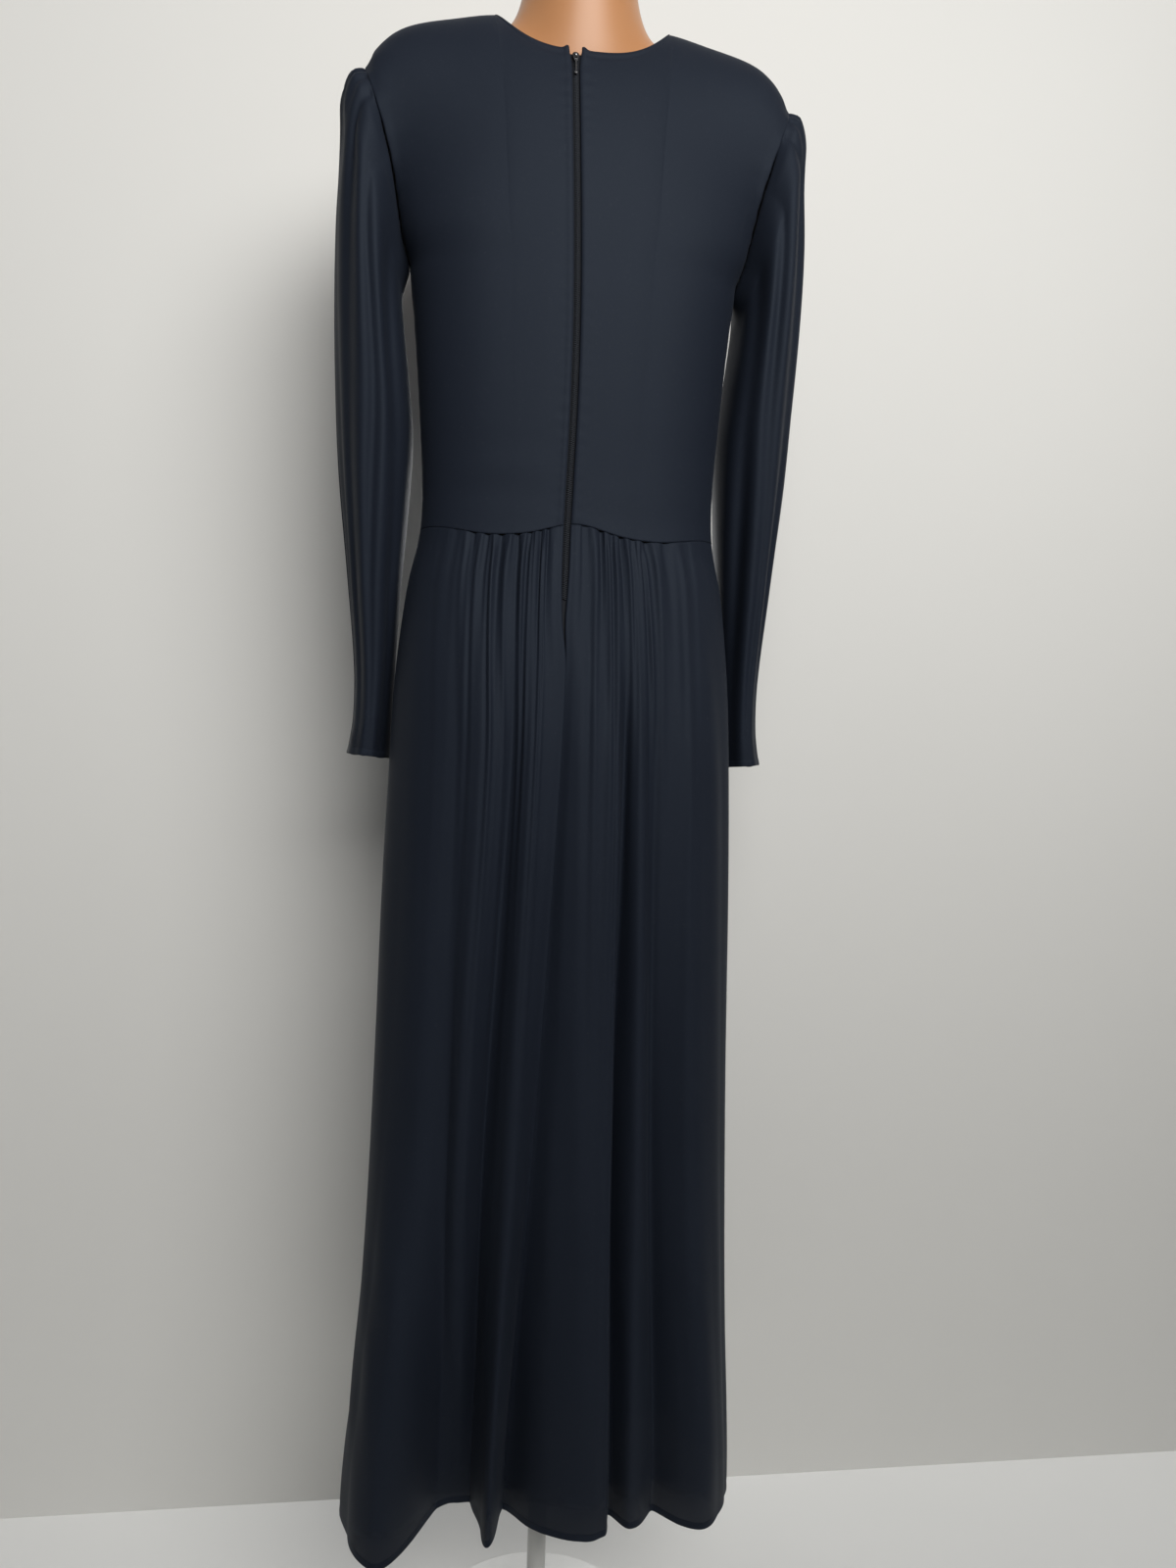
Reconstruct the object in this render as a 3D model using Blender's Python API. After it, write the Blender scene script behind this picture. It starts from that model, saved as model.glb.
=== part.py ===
"""Long-sleeved maxi dress with a gathered skirt and a back zip, on a limbless dress form.

Metres, +Z up. The front faces -Y, so the back with the zip faces +Y and the wearer's
left is +X. The origin is the middle of the underside of the stand's base.

Every cloth panel is a wall: a function gives its outer surface, and the inner one lies
CLOTH further in. Round the body the angle is 0 at the back centre, a quarter turn at
the wearer's left side and half a turn at the front centre.
"""

import math
from collections import namedtuple

import bmesh
import bpy
from mathutils import Matrix, Vector

# Driving sizes.
CLOTH = 0.0012
SEAM_GAP = 0.0003
SLEEVE_SEAM_GAP = 0.0011
HEM_Z = 0.165
UNDERARM_Z = 1.320
WAIST_Z = 1.0712
WAIST_RISE_BACK = 0.0115
WAIST_RISE_SIDE = 0.0090
WAIST_PEAK_WIDTH = 0.034
ZIP_TOP_Z = 1.512
ZIP_LENGTH = 0.559
SQUARENESS = 0.8
RIDGE_Y = 0.005
DOME_POWER = 2.4
NECK_POWER = 3.0
NECK_HALF_WIDTH = 0.083
NECK_BACK = 0.060
NECK_FRONT = 0.092
ARMHOLE_BELLY = 0.047
OPENING_REACH = 0.070
DOME_SHARES = (0.0, 0.03, 0.09, 0.17, 0.27, 0.38, 0.50, 0.63, 0.76, 0.88, 1.0)

WAIST_HALF_WIDTH = 0.1393

# Horizontal sections of the dress: half width, where the back, front and side seams lie in Y.
Section = namedtuple("Section", "z half_width back front side")
BODY_SECTIONS = [
    Section(0.165, 0.1820, 0.080, -0.105, 0.000),
    Section(0.330, 0.1760, 0.087, -0.108, 0.002),
    Section(0.480, 0.1720, 0.093, -0.110, 0.004),
    Section(0.600, 0.1690, 0.097, -0.110, 0.006),
    Section(0.750, 0.1660, 0.102, -0.108, 0.008),
    Section(0.870, 0.1620, 0.104, -0.104, 0.010),
    Section(0.950, 0.1580, 0.100, -0.098, 0.012),
    Section(1.030, 0.1490, 0.093, -0.090, 0.014),
    Section(1.076, 0.1395, 0.086, -0.083, 0.015),
    Section(1.120, 0.1375, 0.085, -0.086, 0.015),
    Section(1.210, 0.1430, 0.088, -0.099, 0.015),
    Section(1.280, 0.1490, 0.090, -0.109, 0.015),
    Section(1.320, 0.1530, 0.090, -0.106, 0.015),
]
FORM_SECTIONS = [
    Section(0.8375, 0.141, 0.079, -0.082, 0.004),
    Section(0.900, 0.142, 0.080, -0.081, 0.006),
    Section(0.980, 0.136, 0.076, -0.075, 0.010),
    Section(1.060, 0.127, 0.070, -0.067, 0.013),
    Section(1.100, 0.126, 0.071, -0.068, 0.015),
    Section(1.200, 0.134, 0.077, -0.084, 0.015),
    Section(1.280, 0.141, 0.080, -0.098, 0.015),
    Section(1.320, 0.143, 0.081, -0.095, 0.015),
]

# The armhole seam's distance from the middle, and the height of the shoulder along it.
Armhole = namedtuple("Armhole", "z half_width")
ARMHOLE = [
    Armhole(1.320, 0.1530),
    Armhole(1.345, 0.1600),
    Armhole(1.400, 0.1705),
    Armhole(1.435, 0.1800),
    Armhole(1.465, 0.1900),
    Armhole(1.497, 0.1980),
]
Shoulder = namedtuple("Shoulder", "x z")
SHOULDER = [
    Shoulder(0.000, 1.562),
    Shoulder(0.083, 1.559),
    Shoulder(0.120, 1.551),
    Shoulder(0.156, 1.541),
    Shoulder(0.175, 1.530),
    Shoulder(0.190, 1.513),
    Shoulder(0.198, 1.497),
]

# A row for each gather, from the back centre round by the left side, the front and the
# right side. Columns give where it lies in X at four heights, and how deep it is at the waist.
Gather = namedtuple("Gather", "face waist hip knee hem depth")
GATHER_HEIGHTS = (1.076, 0.870, 0.500, 0.165)
LEFT_SIDE, RIGHT_SIDE = "left side", "right side"
GATHERS = [
    Gather("back", 0.006, 0.009, 0.024, 0.040, 0.0000),
    Gather("back", 0.022, 0.027, 0.036, 0.047, 0.0025),
    Gather("back", 0.031, 0.035, 0.044, 0.054, 0.0025),
    Gather("back", 0.040, 0.043, 0.055, 0.062, 0.0025),
    Gather("back", 0.051, 0.053, 0.070, 0.074, 0.0038),
    Gather("back", 0.066, 0.067, 0.080, 0.084, 0.0035),
    Gather("back", 0.078, 0.080, 0.090, 0.094, 0.0030),
    Gather("back", 0.090, 0.095, 0.102, 0.107, 0.0025),
    Gather("back", 0.106, 0.111, 0.118, 0.125, 0.0010),
    Gather("back", 0.119, 0.128, 0.135, 0.142, 0.0000),
    Gather("back", 0.131, 0.145, 0.153, 0.163, 0.0000),
    Gather(LEFT_SIDE, 0, 0, 0, 0, 0.0000),
    Gather("front", 0.131, 0.145, 0.152, 0.162, 0.0000),
    Gather("front", 0.116, 0.126, 0.134, 0.144, 0.0000),
    Gather("front", 0.100, 0.106, 0.113, 0.122, 0.0025),
    Gather("front", 0.084, 0.088, 0.093, 0.100, 0.0030),
    Gather("front", 0.068, 0.071, 0.074, 0.079, 0.0032),
    Gather("front", 0.053, 0.055, 0.056, 0.058, 0.0036),
    Gather("front", 0.038, 0.039, 0.039, 0.037, 0.0030),
    Gather("front", 0.023, 0.024, 0.023, 0.019, 0.0034),
    Gather("front", 0.009, 0.009, 0.007, 0.001, 0.0028),
    Gather("front", -0.006, -0.006, -0.009, -0.017, 0.0034),
    Gather("front", -0.021, -0.022, -0.025, -0.035, 0.0030),
    Gather("front", -0.036, -0.037, -0.041, -0.053, 0.0036),
    Gather("front", -0.051, -0.053, -0.058, -0.071, 0.0030),
    Gather("front", -0.067, -0.070, -0.076, -0.089, 0.0034),
    Gather("front", -0.083, -0.087, -0.095, -0.107, 0.0030),
    Gather("front", -0.099, -0.105, -0.114, -0.126, 0.0020),
    Gather("front", -0.116, -0.126, -0.134, -0.146, 0.0000),
    Gather("front", -0.131, -0.145, -0.153, -0.164, 0.0000),
    Gather(RIGHT_SIDE, 0, 0, 0, 0, 0.0000),
    Gather("back", -0.132, -0.146, -0.155, -0.166, 0.0000),
    Gather("back", -0.120, -0.131, -0.140, -0.151, 0.0000),
    Gather("back", -0.104, -0.115, -0.124, -0.135, 0.0010),
    Gather("back", -0.084, -0.097, -0.107, -0.118, 0.0025),
    Gather("back", -0.063, -0.077, -0.091, -0.103, 0.0036),
    Gather("back", -0.052, -0.062, -0.070, -0.075, 0.0020),
    Gather("back", -0.041, -0.049, -0.051, -0.059, 0.0040),
    Gather("back", -0.032, -0.038, -0.044, -0.050, 0.0015),
    Gather("back", -0.023, -0.025, -0.033, -0.040, 0.0036),
    Gather("back", -0.006, -0.009, -0.021, -0.027, 0.0020),
]
GATHER_FADE = 0.13

# The large folds that grow out of the gathers: which gather each follows, and how far it
# stands out (or in, below zero) at the hip, knee and hem.
Fold = namedtuple("Fold", "gather hip knee hem")
FOLDS = [
    Fold(0, -0.004, -0.012, -0.029),
    Fold(2, 0.003, 0.008, 0.019),
    Fold(4, -0.007, -0.020, -0.040),
    Fold(6, 0.004, 0.002, -0.037),
    Fold(7, 0.001, -0.005, -0.034),
    Fold(9, 0.002, 0.010, 0.044),
    Fold(11, 0.000, 0.000, 0.000),
    Fold(12, 0.001, 0.004, 0.012),
    Fold(14, -0.004, -0.013, -0.030),
    Fold(15, 0.003, 0.010, 0.020),
    Fold(17, -0.005, -0.015, -0.032),
    Fold(19, 0.004, 0.011, 0.026),
    Fold(21, -0.004, -0.012, -0.026),
    Fold(23, 0.003, 0.011, 0.024),
    Fold(25, -0.005, -0.014, -0.030),
    Fold(27, 0.003, 0.010, 0.026),
    Fold(29, 0.000, -0.003, -0.008),
    Fold(30, 0.000, 0.000, 0.000),
    Fold(33, 0.004, 0.012, 0.030),
    Fold(35, -0.005, -0.014, -0.008),
    Fold(36, 0.003, 0.008, 0.013),
    Fold(37, -0.008, -0.020, -0.010),
    Fold(38, 0.004, 0.010, 0.016),
    Fold(40, 0.004, 0.011, 0.019),
    Fold(41, -0.004, -0.012, -0.029),
]

# Rings down the sleeve: the outer and inner edge, seen from the back, and the ring's
# middle and half depth in Y.
Ring = namedtuple("Ring", "share outer_x outer_z inner_x inner_z middle_y half_depth")
SLEEVE_RINGS = [
    Ring(0.00, 0.2060, 1.501, 0.1560, 1.314, 0.006, 0.052),
    Ring(0.06, 0.2150, 1.488, 0.1595, 1.305, 0.006, 0.058),
    Ring(0.14, 0.2205, 1.445, 0.1600, 1.290, 0.004, 0.064),
    Ring(0.24, 0.2240, 1.380, 0.1570, 1.262, 0.001, 0.067),
    Ring(0.34, 0.2240, 1.305, 0.1520, 1.222, -0.002, 0.066),
    Ring(0.45, 0.2215, 1.225, 0.1475, 1.170, -0.006, 0.063),
    Ring(0.57, 0.2165, 1.140, 0.1500, 1.105, -0.010, 0.058),
    Ring(0.70, 0.2070, 1.045, 0.1560, 1.025, -0.015, 0.052),
    Ring(0.83, 0.1985, 0.955, 0.1600, 0.945, -0.020, 0.047),
    Ring(0.92, 0.2000, 0.905, 0.1620, 0.900, -0.022, 0.045),
    Ring(1.00, 0.2085, 0.872, 0.1630, 0.868, -0.024, 0.046),
]
SLEEVE_BLEND = 0.10

# Long folds down the sleeve: where each lies round it in turns from the top by the back,
# how deep it is, and how wide.
SleeveFold = namedtuple("SleeveFold", "turn depth width")
SLEEVE_FOLDS = [
    SleeveFold(0.06, 0.0040, 0.030),
    SleeveFold(0.15, 0.0070, 0.034),
    SleeveFold(0.25, 0.0050, 0.030),
    SleeveFold(0.36, 0.0060, 0.036),
    SleeveFold(0.64, 0.0050, 0.036),
    SleeveFold(0.76, 0.0060, 0.032),
    SleeveFold(0.86, 0.0060, 0.032),
    SleeveFold(0.94, 0.0040, 0.028),
]
CAP_GATHERS = 18
CAP_GATHER_DEPTH = 0.0016

# Zip: the opening between the two back edges, and how deep each piece lies under the cloth's
# outer face.
OPENING = 0.0075
TAPE_WIDTH = 0.0150
TAPE_THICK = 0.0008
CHAIN_WIDTH = 0.0042
CHAIN_THICK = 0.0013
CHAIN_DEPTH = CLOTH + SEAM_GAP
TAPE_DEPTH = CHAIN_DEPTH + CHAIN_THICK + SEAM_GAP
ZIP_TOP_MARGIN = 0.004
CHAIN_RISE = 0.062

# Slider with a bridge for the pull tab, on the coil.
SLIDER_WIDTH = 0.0060
SLIDER_LENGTH = 0.0100
SLIDER_THICK = 0.0014
BRIDGE_WIDTH = 0.0018
BRIDGE_LENGTH = 0.0050
BRIDGE_HEIGHT = 0.0026
BRIDGE_BAR = 0.0008
PIN_HALF = 0.00040
PIN_DROP = 0.0008
PULL_LENGTH = 0.0195
PULL_WIDTH = 0.0032
PULL_THICK = 0.0009
PULL_REST = 0.0011
EYE_WIDTH = 0.0044
EYE_LENGTH = 0.0042
EYE_CLEARANCE = 0.0003

# Form and stand.
NECK_TOP_Z = 1.625
NECK_TOP_HALF_WIDTH = 0.0525
NECK_TOP_HALF_DEPTH = 0.0560
NECK_RINGS = 5
FORM_SIDE_INSET = 0.010
FORM_BACK_INSET = 0.0085
FORM_TOP_INSET = 0.0004
FORM_NECK_INSET = 0.0090
POLE_RADIUS = 0.0090
BASE_RADIUS = 0.110
BASE_THICK = 0.012
FLANGE_RADIUS = 0.045
FLANGE_THICK = 0.006


def along(rows, column, at):
    """The named column of a table, read smoothly at this value of the table's first column."""
    if at <= rows[0][0]:
        return getattr(rows[0], column)
    if at >= rows[-1][0]:
        return getattr(rows[-1], column)
    last = next(i for i in range(1, len(rows)) if rows[i][0] >= at)

    def slope(i):
        if i in (0, len(rows) - 1):
            return 0.0
        rise = getattr(rows[i + 1], column) - getattr(rows[i - 1], column)
        return rise / (rows[i + 1][0] - rows[i - 1][0])

    low, high = rows[last - 1], rows[last]
    run = high[0] - low[0]
    t = (at - low[0]) / run
    first, second = getattr(low, column), getattr(high, column)
    return (
        first * (2 * t**3 - 3 * t**2 + 1)
        + second * (3 * t**2 - 2 * t**3)
        + run * slope(last - 1) * (t**3 - 2 * t**2 + t)
        + run * slope(last) * (t**3 - t**2)
    )


def smooth(t):
    """0 to 1 with level ends."""
    t = min(max(t, 0.0), 1.0)
    return t * t * (3 - 2 * t)


def mix(a, b, t):
    return a + (b - a) * t


def power(value, exponent):
    """A power that keeps the value's sign."""
    return math.copysign(abs(value) ** exponent, value)


def waist_z(x):
    """The curved waist seam: up at the middle and the sides, lower between them."""
    across = min(abs(x) / WAIST_HALF_WIDTH, 1.0)
    side = WAIST_RISE_SIDE * smooth((across - 0.5) / 0.5)
    peak = WAIST_RISE_BACK * math.exp(-((x / WAIST_PEAK_WIDTH) ** 2))
    return WAIST_Z + side + peak


def across_angle(x, half_width):
    return math.asin((x / half_width) ** (1 / SQUARENESS))


def spread(start, end, count):
    """Evenly spaced values, both ends included."""
    return [mix(start, end, i / count) for i in range(count + 1)]


def ring_point(sections, angle, z):
    """A point on a level section: a rounded box with its own depth behind and in front."""
    face = "back" if math.cos(angle) > 0 else "front"
    side = along(sections, "side", z)
    depth = abs(along(sections, face, z) - side)
    half_width = along(sections, "half_width", z)
    x = half_width * power(math.sin(angle), SQUARENESS)
    return Vector((x, side + depth * power(math.cos(angle), SQUARENESS), z))


def dome_point(
    face, across, share, inset_side=0.0, inset_depth=0.0, inset_top=0.0, inset_neck=0.0, armhole=True
):
    """A point between the underarm level (share 0) and the shoulder's ridge (share 1)."""
    turn = share * math.pi / 2
    up = math.sin(turn) ** (2 / DOME_POWER)
    out = max(math.cos(turn), 0.0) ** (2 / DOME_POWER)
    edge_z = mix(ARMHOLE[0].z, ARMHOLE[-1].z, up)
    half_width = along(ARMHOLE, "half_width", edge_z) - inset_side
    x = across * half_width
    ridge_x = abs(across) * ARMHOLE[-1].half_width
    under_neck = inset_neck * smooth((NECK_HALF_WIDTH + 0.03 - ridge_x) / 0.03)
    ridge = along(SHOULDER, "z", ridge_x) - inset_top - under_neck
    z = mix(UNDERARM_Z, ridge, up)
    underarm = along(BODY_SECTIONS, "back" if face > 0 else "front", UNDERARM_Z)
    centre = mix(RIDGE_Y, underarm - face * inset_depth, out)
    edge = mix(along(BODY_SECTIONS, "side", UNDERARM_Z), RIDGE_Y, up)
    bend = 1 / 2.5
    if armhole:
        edge += face * ARMHOLE_BELLY * math.sin(math.pi * share) ** 0.7
        bend = mix(bend, 1.1, smooth(share * 2.5))
    return Vector((x, mix(edge, centre, (1 - abs(across) ** 2.5) ** bend), z))


DOME_RISE = SHOULDER[0].z - UNDERARM_Z
NECK_CORNER = across_angle(NECK_HALF_WIDTH, ARMHOLE[-1].half_width)
NECK_COLUMNS = (0.0, 0.014, 0.028, 0.043, 0.056, 0.066, 0.0735, 0.0795)
QUARTER = [across_angle(x, ARMHOLE[-1].half_width) for x in NECK_COLUMNS]
QUARTER += spread(NECK_CORNER, math.pi / 2, 6)
BODICE_LOWER_ROWS = spread(0, 0.5, 5)[:-1]


def neck_share(face, across):
    """How far up the dome this column goes before it meets the neckline, or 1."""
    depth = NECK_BACK if face > 0 else NECK_FRONT

    def outside(share):
        point = dome_point(face, across, share)
        x_part = (abs(point.x) / NECK_HALF_WIDTH) ** NECK_POWER
        return x_part + (abs(point.y - RIDGE_Y) / depth) ** NECK_POWER > 1 - 1e-6

    if outside(1.0):
        return 1.0
    low, high = 0.0, 1.0
    for _ in range(30):
        middle = (low + high) / 2
        low, high = (middle, high) if outside(middle) else (low, middle)
    return low


def zip_x(z):
    """The back centre seam lies a little to the wearer's left of the middle."""
    return 0.0075 + 0.0028 * math.cos((z - ZIP_TOP_Z) / ZIP_LENGTH * 2 * math.pi)


def bodice_top(angle):
    """The share of the dome at which this column of the bodice ends."""
    return neck_share(1 if math.cos(angle) > 0 else -1, power(math.sin(angle), SQUARENESS))


def bodice_point(angle, up, top=None):
    """The bodice's outer surface. up is 0 at the waist seam, 0.5 at the underarm and 1 at the top."""
    if up <= 0.5:
        waist_x = WAIST_HALF_WIDTH * power(math.sin(angle), SQUARENESS)
        return ring_point(BODY_SECTIONS, angle, mix(waist_z(waist_x), UNDERARM_Z, up * 2))
    face = 1 if math.cos(angle) > 0 else -1
    across = power(math.sin(angle), SQUARENESS)
    top = bodice_top(angle) if top is None else top
    return dome_point(face, across, top * (up * 2 - 1))


def gather_angle(row, height):
    """The angle round the body of one gather at one of the four heights."""
    if row.face == LEFT_SIDE:
        return math.pi / 2
    if row.face == RIGHT_SIDE:
        return 3 * math.pi / 2
    level = GATHER_HEIGHTS.index(height)
    half_width = along(BODY_SECTIONS, "half_width", height)
    across = row[1 + level] / half_width
    angle = math.asin(power(across, 1 / SQUARENESS))
    if row.face == "front":
        return math.pi - angle
    return angle if row.waist > 0 else angle + 2 * math.pi


Track = namedtuple("Track", "z angle")
GATHER_TRACKS = [
    [Track(height, gather_angle(row, height)) for height in reversed(GATHER_HEIGHTS)] for row in GATHERS
]
GATHER_TRACKS.append([Track(t.z, t.angle + 2 * math.pi) for t in GATHER_TRACKS[0]])
FOLD_HEIGHTS = (0.165, 0.500, 0.870, 1.000)
Height = namedtuple("Height", "z out")


def fold_out(fold, z):
    """How far this fold stands out at this height: nothing at the top, most at the hem."""
    outs = (fold.hem, fold.knee, fold.hip, 0.0)
    return along([Height(*pair) for pair in zip(FOLD_HEIGHTS, outs)], "out", z)


def rise(t):
    """From a valley (0) to a crest (1): narrow at the valley, round at the crest."""
    soft = 0.2
    return (math.hypot(math.sin(t * math.pi / 2), soft) - soft) / (math.hypot(1, soft) - soft)


def skirt_out(gather, z):
    """The folds' height on the skirt's smooth section, at this place counted in gathers."""
    last = next(i for i in range(1, len(FOLDS)) if FOLDS[i].gather >= gather)
    low, high = FOLDS[last - 1], FOLDS[last]
    t = (gather - low.gather) / (high.gather - low.gather)
    first, second = fold_out(low, z), fold_out(high, z)
    out = mix(first, second, rise(t)) if first < second else mix(second, first, rise(1 - t))
    start = min(int(gather), len(GATHERS) - 1)
    depth = mix(GATHERS[start].depth, GATHERS[(start + 1) % len(GATHERS)].depth, gather - start)
    fade = 1 - smooth((WAIST_Z - z) / GATHER_FADE)
    return out - depth * fade * (1 - rise(1 - abs(2 * (gather - start) - 1)))


def skirt_point(gather, up):
    """The skirt's outer surface. gather counts the gathers round it, up is 0 at the hem, 1 at the waist."""
    start = min(int(gather), len(GATHERS) - 1)
    level = mix(HEM_Z, WAIST_Z, up)
    angle = mix(
        along(GATHER_TRACKS[start], "angle", level),
        along(GATHER_TRACKS[start + 1], "angle", level),
        gather - start,
    )
    z = mix(HEM_Z, waist_z(WAIST_HALF_WIDTH * power(math.sin(angle), SQUARENESS)), up)
    point = ring_point(BODY_SECTIONS, angle, z)
    step = 0.01
    tangent = ring_point(BODY_SECTIONS, angle + step, z) - ring_point(BODY_SECTIONS, angle - step, z)
    outward = Vector((tangent.y, -tangent.x, 0)).normalized() * -1
    return point + outward * skirt_out(gather, z)


def sleeve_folds(turn, share):
    """How far the sleeve's surface lies in from its smooth ring."""
    deep = 0.0
    for fold in SLEEVE_FOLDS:
        away = (turn - fold.turn + 0.5) % 1 - 0.5
        deep += fold.depth * math.exp(-((away / fold.width) ** 2))
    length = smooth(share / 0.12) * mix(1.0, 0.35, smooth((share - 0.5) / 0.5))
    top = math.cos(turn * 2 * math.pi) > 0.1
    cap = CAP_GATHER_DEPTH * (0.5 - 0.5 * math.cos(turn * 2 * math.pi * CAP_GATHERS)) if top else 0.0
    return deep * length + cap * (1 - smooth(share / 0.2)) * smooth(share / 0.02)


def armhole_edge(face, up):
    """The armhole seam at this share of its height, straight between the bodice's rows as the solid is."""
    share = math.asin(min(max(up, 0.0), 1.0) ** (DOME_POWER / 2)) * 2 / math.pi
    last = next(i for i in range(1, len(DOME_SHARES)) if DOME_SHARES[i] >= share - 1e-9)
    low, high = DOME_SHARES[last - 1], DOME_SHARES[last]
    return dome_point(face, 1.0, low).lerp(dome_point(face, 1.0, high), (share - low) / (high - low))


def sleeve_turns():
    """Columns round the sleeve: one at each of the armhole's corners and one between."""
    ups = [math.sin(share * math.pi / 2) ** (2 / DOME_POWER) for share in reversed(DOME_SHARES)]
    corners = [math.acos(2 * up - 1) / (2 * math.pi) for up in ups]
    back = sorted(corners + [(a + b) / 2 for a, b in zip(corners, corners[1:])])
    return back + [1 - turn for turn in reversed(back[1:-1])]


def sleeve_point(side, turn, share):
    """The sleeve's outer surface. turn goes from the top by the back, share from armhole to wrist."""
    angle = turn * 2 * math.pi
    row = {name: along(SLEEVE_RINGS, name, share) for name in Ring._fields[1:]}
    outer = Vector((row["outer_x"], row["middle_y"], row["outer_z"]))
    inner = Vector((row["inner_x"], row["middle_y"], row["inner_z"]))
    across = (outer - inner) / 2
    depth = Vector((0, row["half_depth"], 0))
    deep = sleeve_folds(turn, share)
    spoke = across * math.cos(angle) + depth * math.sin(angle)
    ring = (outer + inner) / 2 + spoke * (1 - deep / spoke.length)
    face = 1 if math.sin(angle) >= 0 else -1
    seam = armhole_edge(face, (1 + math.cos(angle)) / 2) + Vector((SLEEVE_SEAM_GAP, 0, 0))
    point = seam.lerp(ring, smooth(share / SLEEVE_BLEND))
    point.x *= side
    return point


def run_across(point, at, limits):
    """The surface's run past this place, over a step wide enough to give a direction."""
    step = 0.002
    while True:
        run = point(min(at + step, limits[1])) - point(max(at - step, limits[0]))
        if run.length > 4e-4 or step > 0.1:
            return run
        step *= 2


def normal_at(surface, u, v, u_limits, v_limits):
    """The outward normal, from the surface's own slope."""
    along_u = run_across(lambda at: surface(at, v), u, u_limits)
    along_v = run_across(lambda at: surface(u, at), v, v_limits)
    return along_u.cross(along_v).normalized()


def wall(name, surface, columns, rows, closed=False, gaps=(1, 1, 1, 1), uncut=None, mirrored=False):
    """A panel with a real thickness: outer and inner sheets joined along their edges.

    gaps says how many half seam gaps the first and last column, and the first and last
    row, stand back from the seam. uncut(column) gives the surface to take the normals
    from, where an edge cuts the panel's own surface at a slant. Columns run from the back
    centre by the left side, or the other way if mirrored.
    """
    u_limits = (-math.inf, math.inf) if closed else (columns[0], columns[-1])
    v_limits = (rows[0], rows[-1])
    outer = [[surface(u, v) for u in columns] for v in rows]
    sign = 1 if mirrored else -1
    around = [uncut(u) if uncut else surface for u in columns]
    normals = [[normal_at(s, u, v, u_limits, v_limits) * sign for s, u in zip(around, columns)] for v in rows]

    def stand_back(edge, inside, half_gaps):
        for i in range(len(edge)):
            edge[i] = edge[i] + (inside[i] - edge[i]).normalized() * half_gaps * SEAM_GAP / 2
        return edge

    first_column, last_column, first_row, last_row = gaps
    outer[0] = stand_back(outer[0], outer[1], first_row)
    outer[-1] = stand_back(outer[-1], outer[-2], last_row)
    if not closed:
        for row in outer:
            row[0] = row[0] + (row[1] - row[0]).normalized() * first_column * SEAM_GAP / 2
            row[-1] = row[-1] + (row[-2] - row[-1]).normalized() * last_column * SEAM_GAP / 2

    mesh = bmesh.new()
    outside = [[mesh.verts.new(p) for p in row] for row in outer]
    inside = [
        [mesh.verts.new(p - n * CLOTH) for p, n in zip(row, normal_row)]
        for row, normal_row in zip(outer, normals)
    ]
    count = len(columns)
    spans = count if closed else count - 1

    for j in range(len(rows) - 1):
        for i in range(spans):
            k = (i + 1) % count
            mesh.faces.new((outside[j][i], outside[j + 1][i], outside[j + 1][k], outside[j][k]))
            mesh.faces.new((inside[j][i], inside[j][k], inside[j + 1][k], inside[j + 1][i]))
    for i in range(spans):
        k = (i + 1) % count
        mesh.faces.new((outside[0][k], inside[0][k], inside[0][i], outside[0][i]))
        mesh.faces.new((outside[-1][i], inside[-1][i], inside[-1][k], outside[-1][k]))
    if not closed:
        for j in range(len(rows) - 1):
            mesh.faces.new((outside[j][0], inside[j][0], inside[j + 1][0], outside[j + 1][0]))
            mesh.faces.new((outside[j + 1][-1], inside[j + 1][-1], inside[j][-1], outside[j][-1]))
    return finish(name, mesh)


def finish(name, mesh):
    """Turns the mesh into an object of this name, facing outwards and shaded smooth."""
    bmesh.ops.recalc_face_normals(mesh, faces=mesh.faces)
    data = bpy.data.meshes.new(name)
    mesh.to_mesh(data)
    mesh.free()
    data.shade_smooth()
    data.set_sharp_from_angle(angle=math.radians(50))
    made = bpy.data.objects.new(name, data)
    bpy.context.scene.collection.objects.link(made)
    return made


def paint(made, colour, roughness, metallic=0.0):
    """Gives the object its own plain material."""
    material = bpy.data.materials.new(made.name)
    material.use_nodes = True
    shader = material.node_tree.nodes["Principled BSDF"]
    shader.inputs["Base Color"].default_value = (*colour, 1)
    shader.inputs["Roughness"].default_value = roughness
    shader.inputs["Metallic"].default_value = metallic
    made.data.materials.append(material)
    return made


JERSEY = (0.020, 0.023, 0.029)
TAPE_BLACK = (0.016, 0.018, 0.022)
ZIP_METAL = (0.20, 0.21, 0.22)
SKIN_PLASTIC = (0.66, 0.39, 0.24)
STAND_GREY = (0.62, 0.62, 0.60)


def clear_scene():
    for old in list(bpy.data.objects):
        bpy.data.objects.remove(old)


def bodice():
    """Two back halves with the zip's opening between them, and the front."""
    rows = BODICE_LOWER_ROWS + [0.5 + share / 2 for share in DOME_SHARES]
    side = math.pi / 2 - 1e-6
    half = QUARTER[:-1] + [side]

    def panel(name, columns, gaps, edge_side):
        def surface(angle, up, top=None):
            return bodice_point(beside_zip(angle, up, edge_side), up, top)

        def uncut(column):
            top = bodice_top(beside_zip(column, 1.0, edge_side))
            return lambda angle, up: surface(angle, up, top)

        paint(wall(name, surface, columns, rows, gaps=gaps, uncut=uncut), JERSEY, 0.55)

    panel("bodice_back_left", half, (0, 1, 2, 1), 1)
    panel("bodice_back_right", [-a for a in reversed(half)], (1, 0, 2, 1), -1)
    front = [math.pi - a for a in reversed(half)] + [math.pi + a for a in half[1:]]
    panel("bodice_front", front, (1, 1, 2, 1), 0)


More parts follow.
